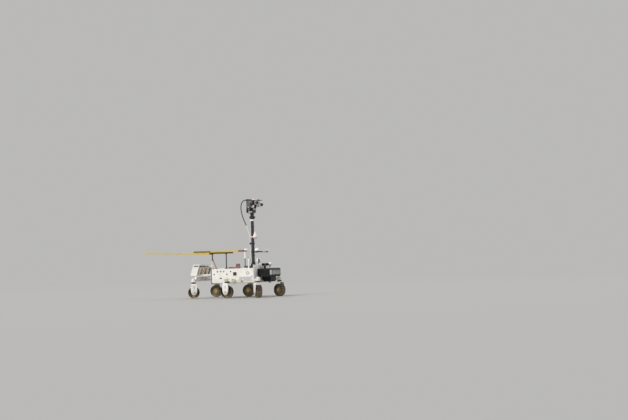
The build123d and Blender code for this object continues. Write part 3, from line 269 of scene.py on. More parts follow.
head_path = nurbs_path([mast_axis + Vector(point) for point in HEAD_CABLE_ROUTE])
head_lead = cable_tube("head_lead", head_path, CABLE_R, CABLE_SIDES)
head_lead.data.materials.append(braided("cable_braid", CABLE_R, True))
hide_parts("head_cable")
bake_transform(head_lead)


# Wheels: thin sheet-metal rings with crosswise lugs, dark brown and worn by the ground, on bronze webs
# and curved leaf spokes. Rivets hold the lugs, bolts the web's rim, a golden cap closes the hub and a
# thin screen keeps dust out of the web's windows. The rear right wheel is caked with pale dust.
STATION_NAMES = ("front_right", "front_left", "mid_right", "mid_left", "rear_right", "rear_left")
DUSTY_STATION = "rear_right"
RING_R = 0.121
WEB_FACE = 0.031
HUB_FACE = 0.045
SCREEN_FACE = 0.0255
LUGS = 16
RIVET_ROWS = (-0.040, -0.014, 0.014, 0.040)
SPOKE_COUNT = 6
RIM_FROM = 0.069
INBOARD = (0, 1, 0)
SMOOTH_BELOW = math.radians(35)
STEP_EDGE = 0.0004
DUST = (0.58, 0.48, 0.33)
PALE_DUST = (0.86, 0.80, 0.66)


def select_faces(piece, wanted):
    """In edit mode, selects only the faces that the test wants, by their normal and middle."""
    bpy.ops.mesh.select_all(action="DESELECT")
    shape = bmesh.from_edit_mesh(piece.data)
    for face in shape.faces:
        if wanted(face.normal, face.calc_center_median()):
            face.select_set(True)
    bmesh.update_edit_mesh(piece.data)


def stepped_top(piece, rim, steps):
    """Softens the rim of a piece's top face and then insets it, each step given as (in, up)."""
    bpy.ops.object.mode_set(mode="EDIT")
    select_faces(piece, lambda normal, middle: normal.z > 0.9)
    bpy.ops.mesh.inset(thickness=rim, depth=rim * 0.8)
    for inward, rise in steps:
        bpy.ops.mesh.inset(thickness=inward, depth=0)
        bpy.ops.mesh.inset(thickness=STEP_EDGE, depth=rise)
    bpy.ops.object.mode_set(mode="OBJECT")
    bpy.ops.object.shade_smooth_by_angle(angle=SMOOTH_BELOW)
    return piece


def cylinder(radius, height, sides):
    """A plain cylinder on z = 0."""
    bpy.ops.object.select_all(action="DESELECT")
    middle = (0, 0, height / 2)
    bpy.ops.mesh.primitive_cylinder_add(vertices=sides, radius=radius, depth=height, location=middle)
    bpy.ops.object.transform_apply()
    return bpy.context.object


def turned_disc(radius, height, sides, rim, *steps):
    """A lathe-turned disc on z = 0: a rounded rim, then insets of its top face, each (in, up)."""
    return stepped_top(cylinder(radius, height, sides), rim, steps)


def turned_ring(outer, inner, height, sides, rim):
    """A flat ring on z = 0 with a softened outer rim."""
    ring = turned_disc(outer, height, sides, rim)
    bpy.ops.object.mode_set(mode="EDIT")
    select_faces(ring, lambda normal, middle: abs(normal.z) > 0.9 and middle.xy.length < 0.0001)
    bpy.ops.mesh.inset(thickness=outer - rim - inner, depth=0)
    select_faces(ring, lambda normal, middle: abs(normal.z) > 0.9 and middle.xy.length < 0.0001)
    bpy.ops.mesh.delete(type="FACE")
    bpy.ops.mesh.select_mode(type="EDGE")
    bpy.ops.mesh.select_non_manifold()
    bpy.ops.mesh.bridge_edge_loops()
    bpy.ops.mesh.select_mode(type="FACE")
    bpy.ops.mesh.select_all(action="SELECT")
    bpy.ops.mesh.normals_make_consistent(inside=False)
    bpy.ops.object.mode_set(mode="OBJECT")
    bpy.ops.object.shade_smooth_by_angle(angle=SMOOTH_BELOW)
    return ring


def socket_screw(radius):
    """The head of a socket screw, seated on z = 0, with its drive sunk in."""
    return turned_disc(radius, radius * 0.55, 16, radius * 0.22, (radius * 0.28, -radius * 0.4))


def facing(point, normal, spin=0.0):
    """The place of a part made on z = 0, set down at the point with its top along the normal."""
    turn = Vector(normal).to_track_quat("Z", "Y").to_matrix().to_4x4()
    return Matrix.Translation(point) @ turn @ Matrix.Rotation(spin, 4, "Z")


def round_spots(radius, count, shift=0.5):
    """Even spots round a circle, as pairs from its middle, shifted on by a part of their step."""
    turns = [2 * math.pi * (index + shift) / count for index in range(count)]
    return [(radius * math.cos(turn), radius * math.sin(turn)) for turn in turns]


def set_out(master, places, keep=False):
    """Copies a finished master to each place, each with its own mesh, and joins the copies."""
    copies = []
    for place in places:
        one = master.copy()
        one.data = master.data.copy()
        one.data.transform(place)
        bpy.context.scene.collection.objects.link(one)
        copies.append(one)
    if not keep:
        bpy.data.objects.remove(master)
    return joined(copies)


def joined(parts):
    """Joins finished parts of one piece."""
    bpy.ops.object.select_all(action="DESELECT")
    for part in parts:
        part.select_set(True)
    bpy.context.view_layer.objects.active = parts[0]
    if len(parts) > 1:
        bpy.ops.object.join()
    return parts[0]


def assembled(*parts):
    """Sets out parts, each given as a master and its places, and joins them."""
    return joined([set_out(master, places) for master, places in parts])


def dress(piece, name, finish, body):
    """Names a finished piece, gives it its finish, and makes it ride on its body."""
    piece.name = name
    piece.data.name = name
    piece.data.materials.clear()
    piece.data.materials.append(finish)
    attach(piece, body)


def fit(name, finish, slot, *parts, body="rover"):
    """Makes one piece of parts, each given as a master and its places, and fits it to its body."""
    dress(assembled(*parts), name, finish, body)


def fit_to_stations(prefix, masters, station_place, body):
    """Fits a copy of every master, given as (kind, finish, slot, object), at every wheel station."""
    for station in STATION_NAMES:
        for kind, finish, slot, master in masters:
            piece = set_out(master, [station_place(station)], keep=True)
            dress(piece, f"{prefix}{kind}_{station}", finish, f"{body}_{station}")
    for kind, finish, slot, master in masters:
        bpy.data.objects.remove(master)


def worn_metal(name, colour, worn, roughness, metallic=0.0, dust_top=None, streaks=0.0, dust=DUST):
    """Sheet metal with blotches, scuffed edges, grime that runs down it and, below a height, dust."""
    material, tree = new_finish(name, {"Metallic": metallic})
    point, axes = tree.place()
    broad = tree.noise(point, 9.0, 6.0, 0.6)
    fine = tree.noise(point, 160.0, 3.0)
    blotch = tree.ramp(broad, 0.38, 0.68)
    base = tree.mixed(tree.maths("MULTIPLY", blotch, 0.55), colour, worn)
    if streaks:
        drawn_out = tree.add("Mapping", {"Vector": point, "Scale": (26.0, 26.0, 1.6)}).outputs[0]
        runs = tree.ramp(tree.noise(drawn_out, 1.0, 5.0, 0.65), 0.50, 0.72, high=streaks)
        base = tree.mixed(runs, base, worn)
    rounded = tree.add("Bevel", {"Radius": 0.0022}, samples=6).outputs[0]
    true_normal = tree.add("NewGeometry").outputs["Normal"]
    flatness = tree.add("VectorMath", {0: rounded, 1: true_normal}, operation="DOT_PRODUCT").outputs["Value"]
    scuff = tree.maths("MULTIPLY", tree.ramp(flatness, 0.992, 0.93, high=0.8), blotch)
    base = tree.mixed(scuff, base, worn)
    rough = tree.ramp(broad, 0.0, 1.0, roughness - 0.1, roughness + 0.14)
    if dust_top:
        patchy = tree.maths("MULTIPLY", tree.maths("ADD", broad, fine), 1.1)
        thick = tree.maths("SUBTRACT", patchy, 0.45)
        amount = tree.maths("MULTIPLY", tree.ramp(axes[2], dust_top, 0.0), thick, clamp=True)
        base = tree.mixed(amount, base, dust)
        rough = tree.maths("ADD", rough, tree.maths("MULTIPLY", amount, 0.3), clamp=True)
    pitted = {"Strength": 0.18, "Distance": 0.0006, "Height": fine, "Normal": rounded}
    bump = tree.add("Bump", pitted).outputs[0]
    tree.feed(tree.shader, {"Base Color": base, "Roughness": rough, "Normal": bump})
    return material


def paint(finish, *names):
    """Gives CAD nodes their main finish."""
    for name in names:
        nodes[name].data.materials[0] = finish


def second_finish(node, finish, wanted):
    """Gives the faces of a CAD node that the test wants, by middle and normal, one more material."""
    mesh = nodes[node].data
    mesh.materials.append(finish)
    for face in mesh.polygons:
        if wanted(face.center, face.normal):
            face.material_index = len(mesh.materials) - 1


def wheel_place(station):
    """A wheel's own place: its axle along Y, with -Y on the outboard side."""
    joint = joints[f"roll_{station}"]
    turn = math.atan2(-joint["axis"][0], joint["axis"][1])
    if station.endswith("left"):
        turn += math.pi
    return Matrix.Translation(joint["pos_m"]) @ Matrix.Rotation(turn, 4, "Z")


def wheel_places(radius, count, y, shift):
    """Places round a wheel's axle, looking inboard."""
    return [facing((x, y, z), INBOARD) for x, z in round_spots(radius, count, shift)]


def from_axle(point, station):
    """How far a point lies from the line of a wheel's axle."""
    joint = joints[f"roll_{station}"]
    offset = point - Vector(joint["pos_m"])
    axis = Vector(joint["axis"])
    return (offset - axis * offset.dot(axis)).length


ring_metal = worn_metal("ring_metal", (0.026, 0.019, 0.014), (0.11, 0.082, 0.055), 0.5, 0.4, 0.17)
dusty_ring = worn_metal("dusty_ring", (0.50, 0.44, 0.33), (0.68, 0.62, 0.50), 0.6, 0.0, 0.34, dust=PALE_DUST)
bronze = worn_metal("hub_bronze_metal", (0.44, 0.33, 0.13), (0.62, 0.50, 0.26), 0.38, 0.4, 0.10)
rim_bronze = worn_metal("rim_bronze_metal", (0.130, 0.096, 0.044), (0.30, 0.24, 0.13), 0.42, 0.4, 0.14)
dusty_bronze = worn_metal(
    "dusty_bronze", (0.46, 0.38, 0.22), (0.62, 0.54, 0.36), 0.5, 0.2, 0.34, dust=PALE_DUST
)
screen_mesh = worn_metal("screen_mesh", (0.060, 0.046, 0.024), (0.18, 0.14, 0.08), 0.5, 0.4, 0.15)
cap_gold = worn_metal("hub_cap_gold", (0.84, 0.70, 0.38), (0.90, 0.82, 0.58), 0.4, 0.1, 0.08)
screw_steel = worn_metal("screw_steel", (0.42, 0.41, 0.40), (0.62, 0.61, 0.60), 0.34, 0.9)
for station in STATION_NAMES:
    dusty = station == DUSTY_STATION
    paint(dusty_ring if dusty else ring_metal, f"wheel_ring_{station}")
    paint(dusty_bronze if dusty else bronze, f"wheel_hub_{station}")
    if not dusty:
        second_finish(
            f"wheel_hub_{station}", rim_bronze,
            lambda middle, normal: from_axle(middle, station) > RIM_FROM,
        )

lug_spots = round_spots(RING_R, LUGS, 0)
rivet_places = [facing((x, row, z), (x, 0, z)) for x, z in lug_spots for row in RIVET_ROWS]
rim_bolts = (socket_screw(0.0044), wheel_places(0.1115, 18, WEB_FACE, 0.5))
barrel_bolts = (socket_screw(0.0040), wheel_places(0.0345, 6, HUB_FACE, 0))
hub_cap = turned_disc(0.029, 0.0045, 40, 0.002, (0.006, -0.0015), (0.010, 0.0025))
screen = turned_ring(0.1162, 0.0365, 0.0012, 72, 0.0003)
bpy.ops.object.select_all(action="DESELECT")
bpy.ops.mesh.primitive_cube_add(size=1, location=(0.1085, -0.007, -0.004), scale=(0.011, 0.056, 0.015))
clamp_block = bpy.context.object
bpy.ops.object.transform_apply()
bpy.ops.object.modifier_add(type="BEVEL")
clamp_block.modifiers[-1].width = 0.003
clamp_block.modifiers[-1].segments = 2
bpy.ops.object.modifier_apply(modifier=clamp_block.modifiers[-1].name)
spoke_turns = [Matrix.Rotation(-2 * math.pi * index / SPOKE_COUNT, 4, "Y") for index in range(SPOKE_COUNT)]
rivets = (turned_disc(0.0040, 0.0014, 12, 0.0012), rivet_places)
wheel_masters = (
    ("rivets", screw_steel, "wheel_brown", assembled(rivets)),
    ("rim_bolts", screw_steel, "hub_bronze", assembled(rim_bolts, barrel_bolts)),
    ("hub_cap", cap_gold, "hub_bronze", assembled((hub_cap, [facing((0, HUB_FACE, 0), INBOARD)]))),
    ("dust_screen", screen_mesh, "hub_bronze", assembled((screen, [facing((0, SCREEN_FACE, 0), INBOARD)]))),
    ("leaf_clamps", ring_metal, "wheel_brown", assembled((clamp_block, spoke_turns))),
)
fit_to_stations("wheel_", wheel_masters, wheel_place, "wheel")


# Steering legs: oval plates in white powder coat with the drive motor's pale cap bolted on the boss, a
# sealed connector in the pocket above it, and the steering collar in black anodised metal.
LEG_FACE = -0.083
POCKET_FACE = LEG_FACE + 0.003
BOSS_FACE = -0.089
CONNECTOR_Z = 0.222
COLLAR_Z = 0.303
LEG_SCREW_REACHES = ((0.048, 0.262), (0.056, 0.176), (0.030, 0.090))
OUTBOARD = (0, -1, 0)
wheel_height = joints["roll_mid_right"]["pos_m"][2]


def leg_place(station):
    """A leg's own place: its steering axis at the origin of X and Y, with -Y on the outboard side."""
    axis = joints[f"steer_{station}"]["pos_m"]
    return Matrix.Translation((axis[0], axis[1], 0)) @ wheel_place(station).to_3x3().to_4x4()


leg_paint = worn_metal("leg_paint", (0.90, 0.89, 0.85), (0.74, 0.70, 0.62), 0.42, 0.0, 0.14, 0.16)
black_anodised = worn_metal("black_anodised", (0.030, 0.030, 0.032), (0.12, 0.12, 0.12), 0.38, 0.6)
satin_silver = worn_metal("satin_silver", (0.62, 0.62, 0.62), (0.80, 0.80, 0.79), 0.36, 0.7)
for station in STATION_NAMES:
    paint(leg_paint, f"steer_leg_{station}")
    second_finish(f"steer_leg_{station}", black_anodised, lambda middle, normal: middle.z > COLLAR_Z)
drive_cap = turned_disc(0.0245, 0.006, 36, 0.002, (0.006, -0.002), (0.006, 0.0025))
plug_places = [facing((0, POCKET_FACE, CONNECTOR_Z + 0.010), OUTBOARD)]
plug_body = (turned_disc(0.009, 0.010, 24, 0.0012, (0.0018, 0.006), (0.0016, -0.003)), plug_places)
plug_nut = (turned_disc(0.012, 0.004, 6, 0.001), plug_places)
small_plug = (
    turned_disc(0.007, 0.008, 20, 0.0012, (0.0014, 0.004)),
    [facing((0, POCKET_FACE, CONNECTOR_Z - 0.018), OUTBOARD)],
)
sight_plugs = (
    turned_disc(0.008, 0.002, 20, 0.001, (0.002, -0.001)),
    [facing((0, LEG_FACE, z), OUTBOARD) for z in (0.186, 0.256)],
)
leg_screws = []
for reach, z in LEG_SCREW_REACHES:
    leg_screws += [facing((x, LEG_FACE, z), OUTBOARD) for x in (-reach, reach)]
for x, z in round_spots(0.0205, 6, 0):
    leg_screws.append(facing((x, BOSS_FACE - 0.006, wheel_height + z), OUTBOARD))
drive_cap_places = [facing((0, BOSS_FACE, wheel_height), OUTBOARD)]
leg_masters = (
    ("drive_cap", satin_silver, "leg_white", assembled((drive_cap, drive_cap_places))),
    ("leg_fittings", satin_silver, "post_dark", assembled(plug_body, plug_nut, small_plug, sight_plugs)),
    ("leg_screws", screw_steel, "post_dark", assembled((socket_screw(0.0038), leg_screws))),
)
fit_to_stations("", leg_masters, leg_place, "leg")


# Steering motors: turned housings in white, clamped in the bogies' sleeves. Each has a bolted cap with
# a grey encoder lid on top, and screws through its seat flange.
MOTOR_TOP = 0.414
FLANGE_TOP = 0.390
UP = (0, 0, 1)


def fit_screws(name, slot, radius, places, body="rover"):
    """Fits one piece of socket screws, one at each place."""
    fit(name, screw_steel, slot, (socket_screw(radius), places), body=body)


motor_white = worn_metal("motor_enamel", (0.80, 0.80, 0.78), (0.60, 0.58, 0.54), 0.34)
encoder_grey = worn_metal("encoder_grey", (0.34, 0.35, 0.36), (0.50, 0.50, 0.50), 0.4, 0.3)
paint(motor_white, "steer_motors")
motor_spots = [Vector((*joints[f"steer_{station}"]["pos_m"][:2], 0)) for station in STATION_NAMES]
encoder = turned_disc(0.014, 0.004, 32, 0.0015, (0.004, 0.002), (0.003, -0.002))
encoder_places = [facing(spot + Vector((0, 0, MOTOR_TOP)), UP) for spot in motor_spots]
fit("encoder_lids", encoder_grey, "cream_beam", (encoder, encoder_places))
motor_screws = []
for spot in motor_spots:
    for radius, top in ((0.043, FLANGE_TOP), (0.0185, MOTOR_TOP)):
        motor_screws += [facing(spot + Vector((x, y, top)), UP) for x, y in round_spots(radius, 6)]
fit_screws("motor_screws", "motor_white", 0.0030, motor_screws)


# Bogies: low aluminium beams with milled webs, in cream enamel, with a clamp sleeve round each motor, and
# a ribbed cross beam at the rear. Screws hold the web plates, and a washer and nut hold each pivot.
SIDES = (-1, 1)
BEAM_FACE = 0.520
PIVOT_END = 0.532
LOCK_X = 0.172
LOCK_Z = 0.332
LOCK_END = 0.546


def at(x, y, z):
    """A point counted along the rover from the middle axle."""
    return Vector((middle_axle.x + x, y, z))


def on_body(x, y, z, normal, spin=0.0):
    """A place on the body, counted along the rover from the middle axle."""
    return facing(at(x, y, z), normal, spin)


def either_side(middles, reach):
    """Each middle less the reach, and each middle plus the reach."""
    return [middle + side * reach for side in SIDES for middle in middles]


def grid(xs, ys, zs, normal, put=on_body):
    """Places at every combination of the given distances, all facing one way."""
    return [put(x, y, z, normal) for x in xs for y in ys for z in zs]


def side_grid(xs, y, zs, put=on_body, middle=0.0):
    """The same places on the right and the left side, facing outward."""
    return [place for side in SIDES for place in grid(xs, (middle + side * y,), zs, (0, side, 0), put)]


beam_cream = worn_metal("beam_cream", (0.84, 0.81, 0.72), (0.62, 0.56, 0.46), 0.4, 0.0, 0.36, 0.25)
# The rear beam's pinkish cream is painted paler than its enamel: painted light, in place of the sun that the
# cage above keeps off it.
rear_beam_finish_with_painted_light = worn_metal("beam_rear_cream", (0.92, 0.86, 0.81), (0.74, 0.66, 0.58), 0.42, 0.0, 0.3, 0.2)
lock_olive = worn_metal("lock_olive", (0.50, 0.49, 0.36), (0.66, 0.64, 0.50), 0.4, 0.2)
lock_front_x = at(0.25, 0, 0).x
paint(beam_cream, "bogie_right", "bogie_left")
for node in ("bogie_right", "bogie_left"):
    second_finish(node, lock_olive, lambda middle, normal: abs(middle.y) > 0.5215 and middle.x < lock_front_x)
paint(rear_beam_finish_with_painted_light, "bogie_rear")
paint(satin_silver, "rear_pivot_tube")
pivots = side_grid((0.350,), PIVOT_END, (0.344,))
pivot_washer = turned_disc(0.024, 0.003, 32, 0.001)
pivot_nut = turned_disc(0.017, 0.007, 6, 0.0015, (0.006, 0.005), (0.002, -0.003))
fit("pivot_nuts", screw_steel, "cream_beam", (pivot_washer, pivots), (pivot_nut, pivots))
lock_cover = turned_disc(0.028, 0.004, 40, 0.0015, (0.005, -0.0015), (0.012, 0.004))
fit("lock_covers", lock_olive, "cream_beam", (lock_cover, side_grid((LOCK_X,), LOCK_END, (LOCK_Z,))))
beam_screws = side_grid((0.451, 0.533, 0.610), BEAM_FACE, (0.334,))
beam_screws += side_grid((0.274, 0.416, 0.492, 0.568), BEAM_FACE, (0.3155, 0.3525))
for x, z in round_spots(0.043, 8):
    beam_screws += side_grid((LOCK_X + x,), 0.536, (LOCK_Z + z,))
rear_axle_x = joints["steer_rear_right"]["pos_m"][0] - middle_axle.x
rib_ys = [side * y for side in SIDES for y in (0.045, 0.122, 0.194, 0.268, 0.344)]
for side in SIDES:
    beam_screws += grid((rear_axle_x + side * 0.020,), rib_ys, (0.3585, 0.4335), (side, 0, 0))
fit_screws("beam_screws", "cream_beam", 0.0040, beam_screws)


# Body: a closed aluminium box with screwed-on side panels in white enamel. Each panel has a connector port in
# a raised frame, a round fill port, a slot, olive cover discs and a pale lilac service plate, whose lilac
# grey is partly its own colour and partly painted shade.
PANEL_FACE = 0.426
CHASSIS_FACE = 0.422
FRAME_FACE = 0.431
OLIVE_DISCS = ((-0.245, 0.538), (-0.172, 0.539), (-0.102, 0.535), (-0.320, 0.481), (-0.031, 0.479))
DARK_VENTS = ((0.087, 0.376), (0.225, 0.344), (0.534, 0.428))
PORT_SOCKETS = ((0.131, 0.467), (0.166, 0.466), (0.133, 0.499))


def evenly(start, end, count):
    """Evenly spaced numbers from one to the other."""
    return [start + (end - start) * index / (count - 1) for index in range(count)]


def rounded_plate(width, height, thickness, corner, rim, *steps):
    """A plate on z = 0 with a softened rim and insets of its top, each (in, up), inside its round corners."""
    bpy.ops.object.select_all(action="DESELECT")
    bpy.ops.mesh.primitive_cube_add(size=1, location=(0, 0, thickness / 2), scale=(width, height, thickness))
    plate = bpy.context.object
    bpy.ops.object.transform_apply()
    bpy.ops.object.mode_set(mode="EDIT")
    bpy.ops.mesh.select_mode(type="EDGE")
    bpy.ops.mesh.select_all(action="DESELECT")
    shape = bmesh.from_edit_mesh(plate.data)
    for edge in shape.edges:
        run = edge.verts[1].co - edge.verts[0].co
        edge.select_set(run.xy.length < abs(run.z))
    bmesh.update_edit_mesh(plate.data)
    deepest = rim + sum(inset for inset, rise in steps) + 2 * STEP_EDGE
    bpy.ops.mesh.bevel(offset=max(corner, deepest), segments=4)
    bpy.ops.mesh.select_mode(type="FACE")
    return stepped_top(plate, rim, steps)


def side_places(face, *spots):
    """Places at the same (x, z) spots on the right and the left side of the body."""
    return [place for x, z in spots for place in side_grid((x,), face, (z,))]


panel_white = worn_metal("panel_white", (0.90, 0.885, 0.845), (0.72, 0.67, 0.58), 0.45, 0.0, 0.40, 0.22)
port_black = worn_metal("port_black", (0.020, 0.020, 0.020), (0.06, 0.05, 0.05), 0.5)
port_brown = worn_metal("port_brown", (0.10, 0.055, 0.035), (0.16, 0.10, 0.07), 0.45)
olive = worn_metal("olive_plastic", (0.19, 0.20, 0.145), (0.28, 0.28, 0.21), 0.5)
button_red = worn_metal("button_red", (0.34, 0.06, 0.04), (0.52, 0.20, 0.14), 0.4)
port_ring_grey = worn_metal("port_ring_grey", (0.40, 0.395, 0.34), (0.54, 0.53, 0.47), 0.45)
# Lilac grey for the service plate and the raised parts round it: partly their own colour, partly painted
# shade.
lilac_grey = worn_metal("lilac_grey", (0.66, 0.64, 0.68), (0.54, 0.50, 0.52), 0.42, 0.0, 0.42, 0.3)
raised_from_x = at(0.3, 0, 0).x


def on_raised_part(middle):
    """Whether a point of a side panel lies on a raised part of its front half."""
    return abs(middle.y) > PANEL_FACE + 0.0005 and middle.x > raised_from_x


paint(panel_white, "chassis_box", "deck_plate", "side_panel_right", "side_panel_left")
for node in ("side_panel_right", "side_panel_left"):
    second_finish(node, lilac_grey, lambda middle, normal: on_raised_part(middle))
    second_finish(node, port_ring_grey, lambda middle, normal: on_raised_part(middle) and middle.z > 0.44)
olive_disc = turned_disc(0.0165, 0.002, 32, 0.001, (0.004, -0.0006))
fit("side_cover_discs", olive, "white_panel", (olive_disc, side_places(PANEL_FACE, *OLIVE_DISCS)))
fit(
    "side_port_fittings", port_black, "black_box",
    (turned_disc(0.009, 0.002, 20, 0.001, (0.002, -0.0012)), side_places(PANEL_FACE, *DARK_VENTS)),
    (rounded_plate(0.050, 0.020, 0.0015, 0.0098, 0.0008), side_places(CHASSIS_FACE, (-0.172, 0.399))),
    (rounded_plate(0.074, 0.070, 0.002, 0.007, 0.001), side_places(CHASSIS_FACE, (0.150, 0.480))),
    (turned_disc(0.010, 0.007, 28, 0.0015, (0.0025, -0.004)), side_places(CHASSIS_FACE, *PORT_SOCKETS)),
)
port_shell = rounded_plate(0.026, 0.024, 0.007, 0.003, 0.002, (0.003, -0.003))
fit("port_shells", port_brown, "black_box", (port_shell, side_places(CHASSIS_FACE, (0.168, 0.498))))
fill_cap = turned_disc(0.0232, 0.003, 40, 0.001, (0.006, -0.001), (0.008, 0.002))
fit(
    "port_whites", motor_white, "white_panel",
    (rounded_plate(0.066, 0.006, 0.004, 0.002, 0.001), side_places(CHASSIS_FACE, (0.150, 0.4475))),
    (fill_cap, side_places(PANEL_FACE, (0.436, 0.496))),
)
button = turned_disc(0.014, 0.007, 28, 0.003, (0.004, 0.001))
fit("side_buttons", button_red, "rail_red", (button, side_places(PANEL_FACE, (0.055, 0.534))))
service_plate = rounded_plate(0.284, 0.082, 0.0025, 0.008, 0.001)
fit("service_plates", lilac_grey, "white_panel", (service_plate, side_places(PANEL_FACE, (0.384, 0.387))))
louvres = side_grid((0.384,), PANEL_FACE, (0.369, 0.381, 0.393, 0.405))
louvre = rounded_plate(0.236, 0.0035, 0.0045, 0.0015, 0.0008)
fit("service_louvres", encoder_grey, "white_panel", (louvre, louvres))
panel_screws = side_grid(evenly(-0.340, 0.525, 12), PANEL_FACE, (0.311, 0.571))
panel_screws += side_grid((-0.364, 0.549), PANEL_FACE, evenly(0.35, 0.54, 4))
panel_screws += side_grid(evenly(0.254, 0.514, 4), PANEL_FACE + 0.0025, (0.354, 0.420))
panel_screws += side_grid(evenly(0.107, 0.193, 3), FRAME_FACE, (0.439, 0.521))
fit_screws("side_panel_screws", "white_panel", 0.0036, panel_screws)


# Deck: two screwed hatches, threaded bushings in the payload holes, and closed equipment boxes in dark
# grey with screwed lids and connectors. It can't be seen from the photograph's low camera.
DECK_TOP = 0.592
LID = 0.004
HATCH_INSET = 0.009
FORWARD = (1, 0, 0)
HATCHES = ((-0.240, -0.160, 0.180, 0.220), (0.115, 0.050, 0.200, 0.170))
DECK_BOXES = ((0.060, -0.250, 0.210, 0.120, 0.028), (0.330, -0.250, 0.070, 0.080, 0.044))
DECK_BOXES += ((0.330, 0.250, 0.070, 0.080, 0.044), (0.110, 0.290, 0.170, 0.110, 0.036))


def corner_places(x, y, z, width, height, inset):
    """The four corners of a level rectangle, facing up."""
    return grid(either_side((x,), width / 2 - inset), either_side((y,), height / 2 - inset), (z,), UP)


box_grey = worn_metal("box_grey", (0.10, 0.105, 0.11), (0.22, 0.22, 0.22), 0.42, 0.2)
paint(box_grey, "deck_boxes")
hatches = []
deck_screws = grid(evenly(-0.300, 0.100, 5), (-0.410, 0.410), (DECK_TOP,), UP)
for x, y, width, height in HATCHES:
    hatch = rounded_plate(width, height, LID, 0.016, 0.0012, (0.016, -0.0008))
    hatches.append((hatch, [on_body(x, y, DECK_TOP, UP)]))
    deck_screws += corner_places(x, y, DECK_TOP + LID, width, height, HATCH_INSET)
    deck_screws += grid(either_side((x,), width / 2 - HATCH_INSET), (y,), (DECK_TOP + LID,), UP)
    deck_screws += grid((x,), either_side((y,), height / 2 - HATCH_INSET), (DECK_TOP + LID,), UP)
fit("deck_hatches", panel_white, "white_panel", *hatches)
payload_holes = corner_places(-0.150, 0.120, DECK_TOP, 0.200, 0.200, 0)
bushing = turned_ring(0.011, 0.0048, 0.002, 28, 0.001)
fit("payload_bushings", screw_steel, "white_panel", (bushing, payload_holes))
box_lids = []
box_plugs = []
for x, y, width, height, tall in DECK_BOXES:
    lid = rounded_plate(width - 0.008, height - 0.008, LID, 0.007, 0.0015, (0.012, -0.001))
    box_lids.append((lid, [on_body(x, y, DECK_TOP + tall, UP)]))
    deck_screws += corner_places(x, y, DECK_TOP + tall + LID, width, height, 0.011)
    box_plugs += grid((x + width / 2,), (y - 0.018, y + 0.018), (DECK_TOP + tall / 2,), FORWARD)
fit("deck_box_lids", black_anodised, "lid_dark", *box_lids)
box_plug = turned_disc(0.009, 0.009, 24, 0.0012, (0.002, 0.005), (0.0015, -0.003))
fit("deck_box_plugs", satin_silver, "lid_dark", (box_plug, box_plugs))
fit_screws("deck_screws", "white_panel", 0.0036, deck_screws)


# Belly: two service covers of thin painted sheet, screwed on all round under the body box, and a hexagon
# drain plug beside each of them.
BELLY_Z = 0.300
BELLY_SHEET = 0.0030
BELLY_COVERS = ((-0.150, 0.340), (0.270, 0.380))
BELLY_WIDTH = 0.560
WASHER = 0.003
DOWN = (0, 0, -1)
belly_covers = []
belly_screws = []
for x, length in BELLY_COVERS:
    cover = rounded_plate(length, BELLY_WIDTH, BELLY_SHEET, 0.026, 0.0008, (0.022, -0.0012))
    belly_covers.append((cover, [on_body(x, 0, BELLY_Z, DOWN)]))
    reach = length / 2 - 0.012
    screw_z = (BELLY_Z - BELLY_SHEET,)
    belly_screws += grid(evenly(x - reach + 0.020, x + reach - 0.020, 4), (-0.268, 0.268), screw_z, DOWN)
    belly_screws += grid((x - reach, x + reach), (-0.130, 0.0, 0.130), screw_z, DOWN)
fit("belly_covers", panel_white, "white_panel", *belly_covers)
fit_screws("belly_screws", "white_panel", 0.0045, belly_screws)
plug_xs = [x for x, length in BELLY_COVERS]
fit(
    "drain_plugs", screw_steel, "white_panel",
    (turned_disc(0.020, WASHER, 24, 0.0008), grid(plug_xs, (0.345,), (BELLY_Z,), DOWN)),
    (turned_disc(0.013, 0.008, 6, 0.0015), grid(plug_xs, (0.345,), (BELLY_Z - WASHER,), DOWN)),
)


# Red unit on the right deck edge: a small pressed housing in red enamel with a lid catch and a knob, and
# a thin pink rod that runs back from it to a foot.
UNIT_TOP = DECK_TOP + 0.088
UNIT_FACE = -0.425
unit_red = worn_metal("unit_red", (0.26, 0.11, 0.09), (0.38, 0.22, 0.19), 0.4, streaks=0.3)
rod_pink = worn_metal("rod_pink", (0.56, 0.26, 0.24), (0.66, 0.42, 0.40), 0.42)
paint(unit_red, "deck_rail")
second_finish("deck_rail", rod_pink, lambda middle, normal: middle.x < at(0.175, 0, 0).x)
unit_lid = rounded_plate(0.078, 0.040, 0.006, 0.007, 0.002, (0.006, -0.0015))
fit("red_unit_lid", unit_red, "rail_red", (unit_lid, [on_body(0.216, -0.404, UNIT_TOP, UP)]))
knob = turned_disc(0.013, 0.006, 28, 0.002, (0.004, 0.004), (0.002, -0.002))
catch = rounded_plate(0.012, 0.020, 0.004, 0.002, 0.001, (0.002, -0.001))
fit(
    "red_unit_fittings", black_anodised, "rail_red",
    (knob, [on_body(0.198, UNIT_FACE, DECK_TOP + 0.055, OUTBOARD)]),
    (catch, [on_body(0.236, UNIT_FACE, DECK_TOP + 0.070, OUTBOARD)]),
)


# Back cover: a black ribbed casting over the body's rear, with cooling fins in its pockets and screws
# round its edge. The flange of the rear pivot tube is bolted to it.
COVER_FACE = -0.402
BACK = (-1, 0, 0)
cover_black = worn_metal("cover_black", (0.030, 0.029, 0.029), (0.10, 0.09, 0.08), 0.5, 0.0, 0.42, 0.3)
paint(cover_black, "rear_cover")
fin_ys = [pocket + step for pocket in (-0.303, -0.202, 0.202, 0.303) for step in evenly(-0.028, 0.028, 5)]
fin = rounded_plate(0.003, 0.172, 0.0075, 0.0012, 0.0006)
fit("cover_fins", cover_black, "black_box", (fin, grid((COVER_FACE + 0.008,), fin_ys, (0.446,), BACK)))
cover_screws = grid((COVER_FACE,), evenly(-0.370, 0.370, 9), (0.300, 0.578), BACK)
cover_screws += grid((COVER_FACE,), (-0.390, 0.390), evenly(0.340, 0.540, 4), BACK)
cover_screws += [on_body(COVER_FACE - 0.012, y, 0.392 + z, BACK) for y, z in round_spots(0.043, 6)]
fit_screws("cover_screws", "black_box", 0.0042, cover_screws)


